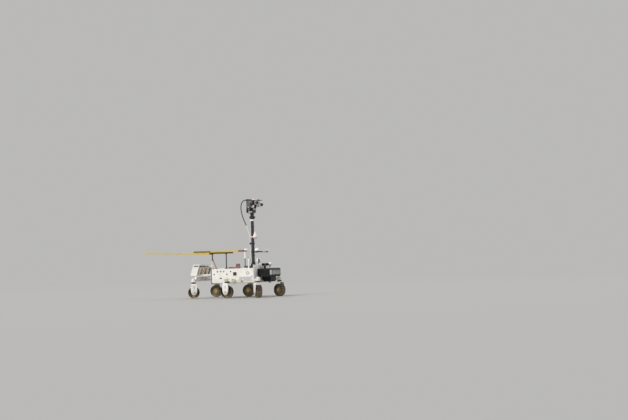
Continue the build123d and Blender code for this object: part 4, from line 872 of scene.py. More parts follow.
# Front bulkhead: a light grey machined plate across the body's front, with raised ears, an upright post
# and a padded ring that a tool can rest in. Screws hold it to the body.
BULKHEAD_FACE = (0.570,)
# The plate's grey is painted paler than the plate is: painted light on its forward face, which the key light
# leaves in shade.
bulkhead_grey = worn_metal("bulkhead_grey", (0.87, 0.86, 0.86), (0.72, 0.70, 0.68), 0.4, 0.1, 0.36, 0.3)
rubber_black = worn_metal("rubber_black", (0.022, 0.022, 0.022), (0.05, 0.05, 0.05), 0.7)
paint(bulkhead_grey, "front_bulkhead")
rest_pad = turned_ring(0.0436, 0.039, 0.026, 48, 0.001)
fit("rest_ring_pad", rubber_black, "bulkhead_grey", (rest_pad, [on_body(0.559, -0.205, 0.732, FORWARD)]))
ear_screws = grid(BULKHEAD_FACE, (-0.412, 0.412), evenly(0.335, 0.640, 6), FORWARD)
ear_screws += grid(BULKHEAD_FACE, (-0.310, 0.310), evenly(0.335, 0.560, 4), FORWARD)
ear_screws += grid(BULKHEAD_FACE, (-0.088,), evenly(0.660, 0.776, 4), FORWARD)
fit_screws("bulkhead_screws", "bulkhead_grey", 0.0042, ear_screws)
ear_plug = turned_disc(0.009, 0.010, 28, 0.0015, (0.0020, 0.005), (0.0015, -0.003))
ear_plugs = grid(BULKHEAD_FACE, (-0.362, 0.362), (0.600, 0.545), FORWARD)
fit("bulkhead_plugs", satin_silver, "bulkhead_grey", (ear_plug, ear_plugs))


# Drill box: a black housing with a screwed lid. Its face carries a grey-green plate in a black frame, a
# cream light bar stands on the lid, and the core bit's housing is bolted below.
BOX_FRONT = 0.828
BOX_Y = 0.015
BOX_HALF_W = 0.265
FACE_Z = 0.498
FRAME_ZS = (0.441, 0.555)
LID_TOP = 0.576
BAR_X = 0.790
BAR_Z = 0.595
BIT_X = 0.720
BIT_Y = 0.005
BIT_Z = 0.296


def blotched_plate(name, colour, dark, pale, pale_from):
    """A painted plate with darker patches, that grows paler beyond a line across the rover."""
    material = worn_metal(name, colour, dark, 0.42, 0.1)
    tree = Tree(material)
    painted = tree.shader.inputs["Base Color"].links[0].from_socket
    point, axes = tree.place()
    past = tree.ramp(axes[1], pale_from + 0.02, pale_from - 0.02)
    patch = tree.ramp(tree.noise(point, 22.0, 2.0), 0.52, 0.60, high=0.7)
    tree.feed(tree.shader, {"Base Color": tree.mixed(past, tree.mixed(patch, painted, dark), pale)})
    return material


box_black = worn_metal("box_black", (0.006, 0.0062, 0.0065), (0.024, 0.023, 0.022), 0.42, 0.0, 0.34, 0.2)
box_black.node_tree.nodes["Principled BSDF"].inputs["Specular IOR Level"].default_value = 0.22
plate_green = blotched_plate(
    "plate_green", (0.34, 0.40, 0.36), (0.16, 0.19, 0.17), (0.62, 0.66, 0.60), -0.130
)
lamp_cream = worn_metal("lamp_cream", (0.82, 0.80, 0.66), (0.88, 0.86, 0.76), 0.3)
paint(box_black, "drill_box", "drill_lid", "drill_chuck")
paint(lamp_cream, "drill_face_plate")
second_finish("drill_face_plate", plate_green, lambda middle, normal: middle.z < LID_TOP - 0.010)
second_finish("drill_chuck", screw_steel, lambda middle, normal: middle.z < 0.3095)
long_places = grid((BOX_FRONT,), (BOX_Y,), FRAME_ZS, FORWARD)
short_places = grid((BOX_FRONT,), either_side((BOX_Y,), 0.248), (FACE_Z,), FORWARD)
fit(
    "drill_face_frame", box_black, "black_box",
    (rounded_plate(0.530, 0.020, 0.005, 0.003, 0.0012), long_places),
    (rounded_plate(0.020, 0.140, 0.005, 0.003, 0.0012), short_places),
)
seam = rounded_plate(0.004, 0.096, 0.0042, 0.001, 0.0005)
seams = grid((BOX_FRONT,), (-0.110, 0.120), (FACE_Z,), FORWARD)
fit("drill_face_seams", port_black, "pale_plate", (seam, seams))
box_screws = grid((BOX_FRONT + 0.005,), evenly(-0.225, 0.255, 7), FRAME_ZS, FORWARD)
box_screws += side_grid(evenly(0.590, 0.806, 4), BOX_HALF_W, (0.428, 0.556), middle=BOX_Y)
box_screws += grid(evenly(0.600, 0.810, 4), either_side((BOX_Y,), 0.255), (LID_TOP,), UP)
box_screws += grid((0.800,), (-0.100, 0.110), (0.362, 0.396), FORWARD)
fit_screws("drill_box_screws", "black_box", 0.0038, box_screws)
side_cover = rounded_plate(0.190, 0.090, 0.003, 0.008, 0.0012, (0.012, -0.0008))
side_covers = side_grid((0.698,), BOX_HALF_W, (0.492,), middle=BOX_Y)
fit("drill_side_covers", box_black, "black_box", (side_cover, side_covers))
teeth = [on_body(BIT_X + x, BIT_Y + y, BIT_Z, DOWN, -math.atan2(y, x)) for x, y in round_spots(0.020, 6, 0)]
fit(
    "core_bit", screw_steel, "black_box",
    (turned_ring(0.024, 0.016, 0.010, 36, 0.0012), [on_body(BIT_X, BIT_Y, BIT_Z, DOWN)]),
    (rounded_plate(0.007, 0.005, 0.013, 0.001, 0.0008), teeth),
)
bar_ends = side_grid((BAR_X,), 0.278, (BAR_Z,), middle=BOX_Y)
bar_clamps = grid((BAR_X,), [BOX_Y + y - 0.007 for y in (-0.200, 0.0, 0.200)], (BAR_Z,), (0, 1, 0))
fit(
    "light_bar_fittings", satin_silver, "pale_plate",
    (turned_disc(0.0102, 0.006, 28, 0.0015), bar_ends), (turned_disc(0.0112, 0.014, 28, 0.0012), bar_clamps),
)


# Front cameras: two black camera housings on a cross plate over the drill box, each with a coated lens
# in a short barrel, a data plug behind and four screws.
CAMERA_YS = (-0.083, 0.087)
DOME_RINGS = 5


def domed_disc(radius, base, bulge):
    """A short cylinder on z = 0 whose top swells into a shallow dome, as a lens does."""
    dome = cylinder(radius, base, 36)
    bpy.ops.object.mode_set(mode="EDIT")
    select_faces(dome, lambda normal, middle: normal.z > 0.9)
    for ring in range(DOME_RINGS):
        outer, inner = 1 - ring / DOME_RINGS, 1 - (ring + 1) / DOME_RINGS
        bpy.ops.mesh.inset(thickness=radius * (outer - inner) * 0.96, depth=bulge * (outer**2 - inner**2))
    bpy.ops.object.mode_set(mode="OBJECT")
    bpy.ops.object.shade_smooth_by_angle(angle=math.radians(45))
    return dome


def lens_coat(name, middle_tint, slant_reflection_tint):
    """Dark lens glass with a painted reflection of its coating: one tint straight on and another at a slant.
    """
    glass = {"Roughness": 0.04, "Coat Weight": 1.0, "Coat Roughness": 0.02, "IOR": 1.7}
    material, tree = new_finish(name, glass)
    # Painted reflection: the coating's shine at a slant is painted into the colour.
    slant = tree.add("LayerWeight", {"Blend": 0.35}).outputs["Facing"]
    tree.feed(tree.shader, {"Base Color": tree.mixed(slant, middle_tint, slant_reflection_tint)})
    return material


violet_glass = lens_coat("violet_glass", (0.012, 0.008, 0.020), (0.16, 0.05, 0.20))
amber_glass = lens_coat("amber_glass", (0.020, 0.010, 0.006), (0.30, 0.12, 0.03))
paint(box_black, "front_camera")
barrels = grid((0.664,), CAMERA_YS, (0.659,), FORWARD)
fit("front_camera_lenses", violet_glass, "black_box", (domed_disc(0.0115, 0.001, 0.003), barrels))
barrel_rim = turned_ring(0.0165, 0.0118, 0.005, 36, 0.0012)
fit("front_camera_rims", black_anodised, "black_box", (barrel_rim, barrels))
data_plug = turned_disc(0.008, 0.014, 24, 0.001, (0.002, 0.004))
fit("front_camera_plugs", satin_silver, "black_box", (data_plug, grid((0.600,), CAMERA_YS, (0.658,), BACK)))
camera_screws = grid((0.648,), either_side(CAMERA_YS, 0.018), (0.642, 0.676), FORWARD)
fit_screws("front_camera_screws", "black_box", 0.0022, camera_screws)


# Instrument cage: white end plates and a light top frame round a row of plug-in modules, each with its
# own coloured front. Module fronts have finger screws, a round connector and a dark window.
CAGE_FOOT_X = -0.800
CAGE_FOOT_Z = 0.462
CAGE_FLOOR_Z = 0.474
CAGE_LID_Z = 0.618
CAGE_SLOPE = 0.050 / 0.156
MODULE_GAP = 0.005
WIDE_MODULE = 0.055
# width and colour of each module's front, from the right side to the left; each colour is painted paler than
# the front is, as painted light against the shade of the lid over it
MODULES = (
    (0.040, (0.32, 0.35, 0.30)),
    (0.092, (0.84, 0.87, 0.70)),
    (0.046, (0.36, 0.31, 0.20)),
    (0.116, (0.92, 0.74, 0.50)),
    (0.060, (0.58, 0.36, 0.17)),
    (0.096, (0.94, 0.90, 0.64)),
    (0.048, (0.20, 0.17, 0.08)),
)
paint(panel_white, "cage_floor", "cage_ends", "cage_back")
paint(box_grey, "cage_lid", "cage_boards")
second_finish("cage_lid", satin_silver, lambda middle, normal: middle.z < CAGE_LID_Z + 0.0145)
lean = math.atan(CAGE_SLOPE)
module_out = Vector((math.cos(lean), 0, -math.sin(lean)))
module_up = Vector((math.sin(lean), 0, math.cos(lean)))
module_height = (CAGE_LID_Z - CAGE_FLOOR_Z) / math.cos(lean)
module_z = (CAGE_FLOOR_Z + CAGE_LID_Z) / 2
module_x = CAGE_FOOT_X - 0.009 + CAGE_SLOPE * (module_z - CAGE_FOOT_Z)
module_y = -(sum(width for width, colour in MODULES) + MODULE_GAP * (len(MODULES) - 1)) / 2
finger_screws = []
connectors = []
windows = []
grips = []
for index, (width, colour) in enumerate(MODULES):
    paler = tuple(min(1.0, part * 1.25 + 0.03) for part in colour)
    front_paint = worn_metal(f"module_front_{index + 1}", colour, paler, 0.45, 0.1, streaks=0.3)
    near, far = module_y - 0.001, module_y + width + 0.001
    second_finish("cage_boards", front_paint, lambda middle, normal: near < middle.y < far)
    centre = at(module_x, module_y + width / 2, module_z)
    bezel = rounded_plate(width - 0.006, module_height - 0.008, 0.002, 0.003, 0.0008, (0.004, -0.0006))
    fit(f"module_bezel_{index + 1}", front_paint, "board_cream", (bezel, [facing(centre, module_out)]))
    face = centre + module_out * 0.002
    connectors.append(facing(face + module_up * 0.030, module_out))
    for side in SIDES:
        finger_screws.append(facing(face + module_up * side * (module_height / 2 - 0.012), module_out))
    if width > WIDE_MODULE:
        windows.append(facing(face - module_up * 0.004, module_out))
        for side in SIDES:
            grip_spot = face + Vector((0, side * (width / 2 - 0.014), 0)) - module_up * 0.036
            grips.append(facing(grip_spot, module_out))
    module_y += width + MODULE_GAP
finger_screw = turned_disc(0.0045, 0.006, 20, 0.001, (0.0012, -0.002))
fit("module_finger_screws", satin_silver, "board_cream", (finger_screw, finger_screws))
fit(
    "module_connectors", box_grey, "board_cream",
    (turned_disc(0.009, 0.005, 28, 0.0015, (0.002, 0.003), (0.0015, -0.005)), connectors),
    (rounded_plate(0.030, 0.014, 0.0015, 0.003, 0.0006, (0.0015, -0.001)), windows),
    (rounded_plate(0.006, 0.026, 0.006, 0.0025, 0.001), grips),
)
cage_screws = []
for zs, xs in (((0.474, 0.540, 0.606), (-0.138, -0.010)), ((0.640, 0.683), (-0.139, -0.009))):
    for z in zs:
        foot_x = CAGE_FOOT_X + CAGE_SLOPE * (z - CAGE_FOOT_Z)
        cage_screws += side_grid([foot_x + x for x in xs], 0.280, (z,))
fit_screws("cage_screws", "white_panel", 0.0040, cage_screws)
lid_catch = rounded_plate(0.024, 0.012, 0.008, 0.003, 0.0015, (0.002, -0.002))
lid_catches = grid((-0.770,), (-0.240, -0.070, 0.090, 0.240), (0.632,), UP)
fit("cage_lid_catches", satin_silver, "lid_dark", (lid_catch, lid_catches))
back_rib = rounded_plate(0.014, module_height - 0.016, 0.004, 0.004, 0.0015)
back_x = -0.9425 + CAGE_SLOPE * 0.075
back_ribs = grid((back_x,), (-0.210, -0.105, 0.0, 0.105, 0.210), (0.546,), -module_out)
fit("cage_back_ribs", panel_white, "white_panel", (back_rib, back_ribs))


# Boom: two lapped yellow boards over dark fittings. Painted shade darkens the forward board where it laps the
# tail board, and part of the tail board; a brown sleeve at the forward board's front end stands in for shade
# there, and through bolts and a rail hold both on the posts.
BOOM_Y = -0.385
BOOM_TOP = 0.958
LAP_BOLTS = (-0.740, -0.640, -0.540, -0.450)
POST_XS = (-0.372, -0.056)
POST_FOOT = 0.600
ABOVE_FOOT = POST_FOOT + 0.0005
BOOM_YELLOW = (0.68, 0.50, 0.04)


def board_with_painted_shade(name, colour, dark, from_x, to_x):
    """Yellow enamel, duller on worn edges, darkened between two places along the board by painted shade."""
    material = worn_metal(name, colour, tuple(part * 0.72 for part in colour), 0.42)
    tree = Tree(material)
    painted = tree.shader.inputs["Base Color"].links[0].from_socket
    point, axes = tree.place()
    wander = tree.maths("MULTIPLY_ADD", tree.noise(point, 30.0, 4.0), 0.10, axes[0])
    rising = tree.ramp(wander, from_x, from_x + 0.03)
    falling = tree.ramp(wander, to_x + 0.03, to_x)
    # Painted shade: the board is darkened between the two places, where the boards lap.
    lap_shade = tree.maths("MULTIPLY", tree.maths("MULTIPLY", rising, falling), 0.85)
    tree.feed(tree.shader, {"Base Color": tree.mixed(lap_shade, painted, dark)})
    return material


lap_x = middle_axle.x - 0.785
# Both boards get painted shade along the lap.
upper_yellow = board_with_painted_shade("upper_board_yellow", BOOM_YELLOW, (0.13, 0.085, 0.03), lap_x, lap_x + 0.43)
tail_yellow = board_with_painted_shade("tail_board_yellow", BOOM_YELLOW, (0.10, 0.07, 0.03), lap_x + 0.39, lap_x + 0.60)
post_metal = worn_metal("post_metal", (0.060, 0.055, 0.050), (0.20, 0.17, 0.15), 0.4, 0.6)
post_pink = worn_metal("post_pink", (0.80, 0.66, 0.62), (0.68, 0.54, 0.50), 0.45)
brace_brown = worn_metal("brace_brown", (0.24, 0.11, 0.08), (0.34, 0.20, 0.15), 0.45, 0.2)
paint(upper_yellow, "boom_upper")
paint(tail_yellow, "boom_lower")
paint(post_metal, "boom_posts")
post_edge = middle_axle.x + POST_XS[0] + 0.016
brace_end = middle_axle.x + POST_XS[0] + 0.12


def on_pink_post(middle, normal):
    """Whether a point of the posts lies on the rear post, below its dark top."""
    return middle.x < post_edge and ABOVE_FOOT < middle.z < 0.757


def on_brace(middle, normal):
    """Whether a point of the posts lies on the brace in front of the rear post."""
    return post_edge < middle.x < brace_end and 0.605 < middle.z < 0.85


second_finish("boom_posts", post_pink, on_pink_post)
second_finish("boom_posts", brace_brown, on_brace)
# The dark brown sleeve on the forward board's front end stands in for the shade on that end: painted shade.
end_shade_sleeve = rounded_plate(0.114, 0.0745, 0.0355, 0.006, 0.0015)
fit("boom_end_sleeve", brace_brown, "boom_yellow", (end_shade_sleeve, [on_body(0.2915, BOOM_Y, 0.9245, UP)]))
bolt_xs = LAP_BOLTS + POST_XS
fit(
    "boom_bolts", screw_steel, "boom_yellow",
    (turned_disc(0.011, 0.002, 24, 0.0006), grid(bolt_xs, (BOOM_Y,), (BOOM_TOP,), UP)),
    (turned_disc(0.0075, 0.006, 6, 0.0012), grid(bolt_xs, (BOOM_Y,), (BOOM_TOP + 0.002,), UP)),
)
collars = grid(POST_XS, (BOOM_Y,), (0.882,), UP) + grid(POST_XS[1:], (BOOM_Y,), (POST_FOOT,), UP)
fit("post_collars", post_metal, "post_dark", (turned_ring(0.019, 0.0115, 0.016, 32, 0.0015), collars))
post_screws = [place for x in POST_XS for place in corner_places(x, BOOM_Y, POST_FOOT, 0.060, 0.060, 0.010)]
fit_screws("post_screws", "post_dark", 0.0040, post_screws)


# Mast: a wound carbon tube with a twill weave under clear lacquer, in a gusseted foot. A white clamp ring
# closes its top, and a white bell-shaped sensor hangs on a bracket in front of it.
TWILL_CELL = 0.008
MAST_R = 0.031
MAST_X = 0.362
BAND_HEIGHTS = (0.704, 0.840, 0.968, 1.320, 1.425)
BELL_X = MAST_X + 0.082
BELL_Y = -0.060


def carbon_twill(name, radius):
    """A carbon twill weave that runs round the mast, as slight changes of shade and slope."""
    material, tree = new_finish(name, {"Roughness": 0.34, "Coat Weight": 0.5})
    point, axes = tree.place()
    turn = tree.maths("ARCTAN2", axes[1], tree.maths("SUBTRACT", axes[0], mast_axis.x))
    column = tree.maths("FLOOR", tree.maths("MULTIPLY", turn, radius / TWILL_CELL))
    row = tree.maths("FLOOR", tree.maths("DIVIDE", axes[2], TWILL_CELL))
    step = tree.maths("MODULO", tree.maths("ADD", tree.maths("ADD", column, row), 400.0), 4.0)
    over = tree.maths("LESS_THAN", step, 1.5)
    shade = tree.mixed(over, (0.010, 0.010, 0.011), (0.032, 0.032, 0.034))
    bump = tree.add("Bump", {"Strength": 0.25, "Distance": 0.0004, "Height": over}).outputs[0]
    tree.feed(tree.shader, {"Base Color": shade, "Normal": bump})
    return material


cap_white = worn_metal("cap_white", (0.91, 0.90, 0.87), (0.80, 0.76, 0.70), 0.4)
bell_white = worn_metal("bell_white", (0.90, 0.78, 0.75), (0.80, 0.66, 0.62), 0.42)
paint(carbon_twill("carbon_twill", MAST_R), "mast_tube")
paint(black_anodised, "mast_foot", "mast_pan_base")
paint(cap_white, "mast_fittings")
second_finish("mast_fittings", bell_white, lambda middle, normal: middle.z < 1.42)
foot_screws = []
for x, y in round_spots(1.0, 8):
    reach = 0.053 / max(abs(x), abs(y))
    foot_screws.append(on_body(MAST_X + reach * x, reach * y, 0.602, UP))
fit_screws("mast_foot_screws", "mast_black", 0.0050, foot_screws)
band_lugs = [on_body(MAST_X + 0.030, 0, z + 0.006, FORWARD) for z in BAND_HEIGHTS]
fit(
    "mast_bands", black_anodised, "mast_black",
    (turned_ring(0.0345, 0.0308, 0.012, 48, 0.0012), grid((MAST_X,), (0,), BAND_HEIGHTS, UP)),
    (rounded_plate(0.016, 0.012, 0.012, 0.002, 0.0012, (0.002, -0.003)), band_lugs),
)
ring_screws = []
for z, radius, count in ((1.562, 0.047, 8), (1.621, 0.062, 10)):
    ring_screws += [on_body(MAST_X + x, y, z, (x, y, 0)) for x, y in round_spots(radius, count)]
fit_screws("mast_ring_screws", "mast_black", 0.0036, ring_screws)
bell_seal = turned_ring(0.0425, 0.036, 0.006, 48, 0.0015)
fit("bell_seal", rubber_black, "antenna_white", (bell_seal, [on_body(BELL_X, BELL_Y, 1.200, UP)]))
bell_cap = turned_disc(0.0095, 0.006, 24, 0.0015, (0.003, 0.004))
bell_base = turned_disc(0.030, 0.004, 36, 0.0015, (0.010, 0.003))
fit(
    "bell_fittings", satin_silver, "antenna_white",
    (bell_cap, [on_body(BELL_X, BELL_Y, 1.332, UP)]), (bell_base, [on_body(BELL_X, BELL_Y, 1.192, DOWN)]),
)


# Mast cable below the strap: the same lead in a heavier white sleeve, down to the hexagonal deck gland.
# The strap is black plastic with a rubber tie round it, and a rubber ring closes the gland.
paint(braided("mast_cable_braid", 0.012, False), "mast_cable")
paint(black_anodised, "cable_holders")
fit(
    "cable_holder_rings", rubber_black, "mast_black",
    (turned_ring(0.0415, 0.0388, 0.008, 48, 0.0008), [on_body(MAST_X, 0, 1.083, UP)]),
    (turned_ring(0.0165, 0.0122, 0.006, 32, 0.0012), [on_body(0.258, -0.004, 0.614, UP)]),
)


# Pan and tilt unit: black anodised gear housings with white straps, screwed end caps on the tilt axis and
# a motor housing behind. A milled fork carries the camera bar, and the cable guide stands behind it.
TILT_Z = joints["head_tilt"]["pos_m"][2]
PAN_SCREW_ZS = (1.756, 1.804)
tilt_axis = joints["head_tilt"]["axis"]
head_turn = Matrix.Translation(mast_axis) @ Matrix.Rotation(math.atan2(-tilt_axis[0], tilt_axis[1]), 4, "Z")


def on_head(x, y, z, normal):
    """A place on the head, in its own frame: forward along X, counted from the mast's axis."""
    return head_turn @ facing((x, y, z), normal)


paint(black_anodised, "pan_unit", "tilt_yoke", "camera_bar", "cable_guide")
pan_strap = rounded_plate(0.094, 0.020, 0.004, 0.004, 0.001, (0.003, -0.0008))
pan_straps = side_grid((0,), 0.0535, (1.732,), on_head)
fit("pan_straps", cap_white, "mast_black", (pan_strap, pan_straps), body="pan_head")
pan_motor = rounded_plate(0.072, 0.096, 0.066, 0.020, 0.003, (0.008, -0.002), (0.010, 0.0035))
motor_places = [on_head(-0.056, 0, 1.7605, BACK)]
fit("pan_motor", black_anodised, "mast_black", (pan_motor, motor_places), body="pan_head")
motor_plug = turned_disc(0.009, 0.012, 28, 0.0012, (0.002, 0.005), (0.002, -0.003))
plug_places = [on_head(-0.090, 0, 1.7135, DOWN)]
fit("pan_motor_plug", satin_silver, "mast_black", (motor_plug, plug_places), body="pan_head")
pan_screws = side_grid((-0.044, 0.044), 0.055, PAN_SCREW_ZS, on_head)
pan_screws += grid((0.060,), (-0.042, 0.042), PAN_SCREW_ZS, FORWARD, on_head)
pan_screws += grid((-0.060,), (-0.042, 0.042), PAN_SCREW_ZS, BACK, on_head)
for x, z in round_spots(0.0085, 4):
    pan_screws += side_grid((x,), 0.0930, (TILT_Z + z,), on_head)
fit_screws("pan_screws", "mast_black", 0.0030, pan_screws, "pan_head")
fit(
    "pan_covers", encoder_grey, "mast_black",
    (turned_disc(0.014, 0.003, 36, 0.001), side_grid((0,), 0.090, (TILT_Z,), on_head)),
    (rounded_plate(0.070, 0.036, 0.003, 0.006, 0.001, (0.005, -0.001)), [on_head(0.060, 0, 1.786, FORWARD)]),
    body="pan_head",
)
fit(
    "guide_fittings", encoder_grey, "mast_black",
    (turned_disc(0.0135, 0.010, 32, 0.0015, (0.0018, 0.004)), [on_head(-0.1285, -0.020, 1.975, BACK)]),
    (rounded_plate(0.024, 0.018, 0.003, 0.003, 0.001), [on_head(-0.115, -0.020, 1.991, UP)]),
    body="pan_head",
)
fork_pads = side_grid((0.035,), 0.082, (1.852,), on_head)
fit(
    "fork_fittings", black_anodised, "mast_black",
    (turned_ring(0.026, 0.0135, 0.004, 40, 0.0012), side_grid((0,), 0.082, (TILT_Z,), on_head)),
    (rounded_plate(0.034, 0.052, 0.003, 0.006, 0.0012, (0.005, -0.001)), fork_pads),
    body="tilt_head",
)
head_screws = side_grid((0.022, 0.048), 0.085, (1.832, 1.872), on_head)
head_screws += grid((0.016, 0.054), (-0.025, 0.025), (1.955,), DOWN, on_head)


# Camera bar: a slotted black bar with a stereo camera under each end and a close-up camera in its middle.
# The right camera's housing is dark lilac and the left one's white. The middle one is white with a maroon
# side and a pink face, and each looks out of a short black hood.
POD_YS = (-0.158, 0.158)
POD_LENS_Z = 1.872
CENTRE_LENS_Z = 1.915
CENTRE_TOP = 1.968
pod_lilac = worn_metal("pod_lilac", (0.20, 0.185, 0.215), (0.32, 0.30, 0.34), 0.4, 0.2)
maroon = worn_metal("maroon_anodised", (0.075, 0.024, 0.030), (0.16, 0.08, 0.09), 0.4, 0.3)
face_pink = worn_metal("face_pink", (0.70, 0.54, 0.57), (0.58, 0.44, 0.47), 0.45)
hood_black = worn_metal("hood_black", (0.016, 0.016, 0.017), (0.05, 0.05, 0.05), 0.55)
paint(cap_white, "camera_pods", "camera_center")
head_left = head_turn.to_3x3() @ Vector((0, 1, 0))
head_front = head_turn.to_3x3() @ Vector((1, 0, 0))


def to_left(point):
    """How far a point lies to the head's own left."""
    return (point - mast_axis).dot(head_left)


def to_front(point):
    """How far a point lies in front of the mast's axis, as the head looks."""
    return (point - mast_axis).dot(head_front)


second_finish("camera_pods", pod_lilac, lambda middle, normal: to_left(middle) < 0)
second_finish("camera_pods", hood_black, lambda middle, normal: to_front(middle) > 0.1165)
second_finish(
    "camera_center", maroon,
    lambda middle, normal: to_left(middle) < -0.045 and middle.z < CENTRE_TOP,
)
second_finish(
    "camera_center", face_pink,
    lambda middle, normal: to_front(middle) > 0.1195 and middle.z < CENTRE_TOP,
)
second_finish("camera_center", hood_black, lambda middle, normal: to_front(middle) > 0.1255)
second_finish("camera_bar", maroon, lambda middle, normal: to_left(middle) > 0.04 and middle.z < 1.984)
pod_lenses = grid((0.1275,), POD_YS, (POD_LENS_Z,), FORWARD, on_head)
pod_lens = domed_disc(0.0186, 0.002, 0.005)
fit("pod_lenses", violet_glass, "antenna_white", (pod_lens, pod_lenses), body="tilt_head")
centre_lens = (domed_disc(0.0216, 0.002, 0.005), [on_head(0.134, 0, CENTRE_LENS_Z, FORWARD)])
fit("centre_lens", amber_glass, "antenna_white", centre_lens, body="tilt_head")
visors = grid((0.114,), POD_YS, (POD_LENS_Z + 0.030,), FORWARD, on_head)
fit(
    "lens_rims_and_visors", hood_black, "antenna_white",
    (turned_ring(0.0252, 0.0188, 0.004, 48, 0.001), grid((0.1395,), POD_YS, (POD_LENS_Z,), FORWARD, on_head)),
    (turned_ring(0.0282, 0.0218, 0.004, 48, 0.001), [on_head(0.1445, 0, CENTRE_LENS_Z, FORWARD)]),
    (rounded_plate(0.058, 0.003, 0.030, 0.0012, 0.0006), visors),
    body="tilt_head",
)
for name, side, finish in (("right_pod_lids", -1, box_grey), ("left_pod_lids", 1, cap_white)):
    side_lid = rounded_plate(0.066, 0.100, 0.003, 0.005, 0.001, (0.008, -0.0008))
    back_lid = rounded_plate(0.060, 0.100, 0.003, 0.005, 0.001, (0.008, -0.0008))
    fit(
        name, finish, "antenna_white",
        (side_lid, [on_head(0.072, side * 0.195, 1.892, (0, side, 0))]),
        (back_lid, [on_head(0.029, side * POD_YS[1], 1.892, BACK)]),
        body="tilt_head",
    )
head_plug = turned_disc(0.008, 0.012, 24, 0.001, (0.0016, 0.005), (0.0016, -0.003))
head_plugs = grid((0.026,), either_side(POD_YS, 0.012), (POD_LENS_Z,), BACK, on_head)
head_plugs.append(on_head(0.034, 0.030, 1.930, BACK))
fit("head_plugs", satin_silver, "antenna_white", (head_plug, head_plugs), body="tilt_head")
head_screws += grid((0.115,), either_side(POD_YS, 0.030), (1.840, 1.946), FORWARD, on_head)
head_screws += side_grid((0.045, 0.099), 0.198, (1.848, 1.936), on_head)
head_screws += grid((0.052, 0.096), either_side(POD_YS, 0.026), (1.969,), UP, on_head)
head_screws += grid((0.054, 0.102), (-0.046, 0.046), (1.993,), UP, on_head)
head_screws += grid((0.124,), (-0.044, 0.044), (1.888, 1.946), FORWARD, on_head)
fit_screws("head_screws", "mast_black", 0.0028, head_screws, "tilt_head")


# Antennas: white plastic caps with dark undersides on a black cross arm, a disc on its own pole beside
# the boom, and a white ball on a black stem over the drill box.
DOME_SPOT = at(0.444, 0, 0.930)
DISC_LEFT = at(0.482, 0.407, 0.916)
DISC_RIGHT = at(0.397, -0.390, 0.941)
BALL_SPOT = at(0.620, 0.236, 0.576)
paint(cap_white, "antennas", "antenna_pole")
paint(black_anodised, "antenna_crossbar")
pole_edge = at(0.42, 0, 0).x


def on_ball_stem(middle, normal):
    """Whether a point of the antennas lies on the stem under the ball."""
    return middle.z < BALL_SPOT.z + 0.062 and (middle - BALL_SPOT).xy.length < 0.0125


second_finish("antennas", hood_black, lambda middle, normal: normal.z < -0.95 and middle.z > 0.90)
second_finish("antennas", hood_black, on_ball_stem)
second_finish(
    "antenna_pole", post_metal,
    lambda middle, normal: ABOVE_FOOT < middle.z < 0.789 and middle.x < pole_edge,
)
second_finish("antenna_pole", black_anodised, lambda middle, normal: middle.z > 0.9285)
dome_seal = (turned_ring(0.0465, 0.044, 0.007, 56, 0.001), [facing(DOME_SPOT + Vector((0, 0, 0.004)), UP)])
fit("antenna_seal", encoder_grey, "antenna_white", dome_seal)
buttons = [facing(spot + Vector((0, 0, 0.042)), UP) for spot in (DISC_LEFT, DISC_RIGHT)]
fit("antenna_buttons", cap_white, "antenna_white", (domed_disc(0.010, 0.0008, 0.003), buttons))
arm_screws = grid((0.482,), (0.045, 0.085, 0.125), (0.930,), UP)
arm_screws += grid((0.410,), (-0.013, 0.013), (0.930,), UP)
arm_screws += grid((0.482,), (0.210, 0.300, 0.352), (0.916,), UP)
arm_screws += corner_places(0.369, -0.390, 0.602, 0.020, 0.036, 0)
fit_screws("antenna_screws", "post_dark", 0.0036, arm_screws)
coax_plug = turned_disc(0.007, 0.014, 6, 0.001, (0.0015, 0.004))
coax_places = [facing(DISC_LEFT + Vector((0, -0.006, -0.010)), DOWN)]
coax_places.append(facing(DOME_SPOT + Vector((0.004, 0, -0.024)), DOWN))
fit("coax_plugs", satin_silver, "post_dark", (coax_plug, coax_places))
rod_cap = turned_disc(0.0135, 0.006, 28, 0.0015, (0.004, 0.003))
fit("rod_cap", black_anodised, "antenna_white", (rod_cap, [on_body(0.446, -0.390, 0.793, UP)]))


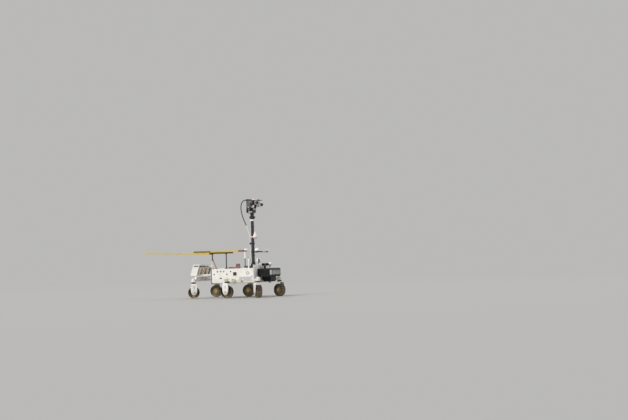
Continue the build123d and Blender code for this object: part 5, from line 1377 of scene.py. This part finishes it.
# Studio: a plain pale floor that fades into an even sky, and a soft light from the camera's left, as the
# sun stands in the photograph, with weaker ones behind it, so that a colour renders about as written.
FLOOR_HALF = 150.0
FLOOR_COLOUR = (0.432, 0.426, 0.415)
SKY_COLOUR = (0.49, 0.486, 0.478)
FADE_FROM = 4.0
FADE_TO = 26.0
bpy.ops.object.select_all(action="DESELECT")
bpy.ops.mesh.primitive_plane_add(size=2 * FLOOR_HALF, location=(cad_low.x / 2, 0, cad_low.z - 0.0005))
floor = bpy.context.object
floor.name = "studio_floor"
matt = {"Base Color": FLOOR_COLOUR, "Roughness": 0.9, "Specular IOR Level": 0.1}
floor_finish, floor_tree = new_finish("studio_floor", matt)
point, axes = floor_tree.place()
reach = floor_tree.add("VectorMath", {0: point}, operation="LENGTH").outputs["Value"]
fade = floor_tree.ramp(reach, FADE_FROM, FADE_TO, interpolation_type="SMOOTHSTEP")
haze = floor_tree.add("Emission", {"Color": SKY_COLOUR}).outputs[0]
faded = floor_tree.add("MixShader", {0: fade, 1: floor_tree.shader.outputs[0], 2: haze}).outputs[0]
floor_tree.feed(floor_tree.tree.nodes["Material Output"], {"Surface": faded})
floor.data.materials.append(floor_finish)


def soft_sun(name, strength, spread, azimuth, height):
    """A sun lamp with a wide disc, from a compass bearing and a height over the floor, in degrees."""
    lamp = bpy.data.lights.new(name, "SUN")
    lamp.energy = strength
    lamp.angle = math.radians(spread)
    holder = bpy.data.objects.new(name, lamp)
    bpy.context.scene.collection.objects.link(holder)
    turn, rise = math.radians(azimuth), math.radians(height)
    away = Vector((math.sin(turn) * math.cos(rise), -math.cos(turn) * math.cos(rise), math.sin(rise)))
    holder.rotation_euler = away.to_track_quat("Z", "Y").to_euler()


soft_sun("key_light", 2.2, 20, -18, 37)
soft_sun("fill_light", 0.8, 60, 120, 35)
soft_sun("back_light", 0.6, 60, -150, 30)

world = bpy.data.worlds.new("studio_sky")
bpy.context.scene.world = world
sky_tree = Tree(world)
rays = sky_tree.add("LightPath").outputs
seen = sky_tree.maths("MAXIMUM", rays["Is Camera Ray"], rays["Is Glossy Ray"])
seen = sky_tree.maths("MAXIMUM", seen, rays["Is Transmission Ray"])
level = sky_tree.ramp(seen, 0.0, 1.0, 0.92)
sky_tree.feed(sky_tree.tree.nodes["Background"], {"Color": SKY_COLOUR, "Strength": level})
bpy.context.scene.view_settings.view_transform = "Standard"
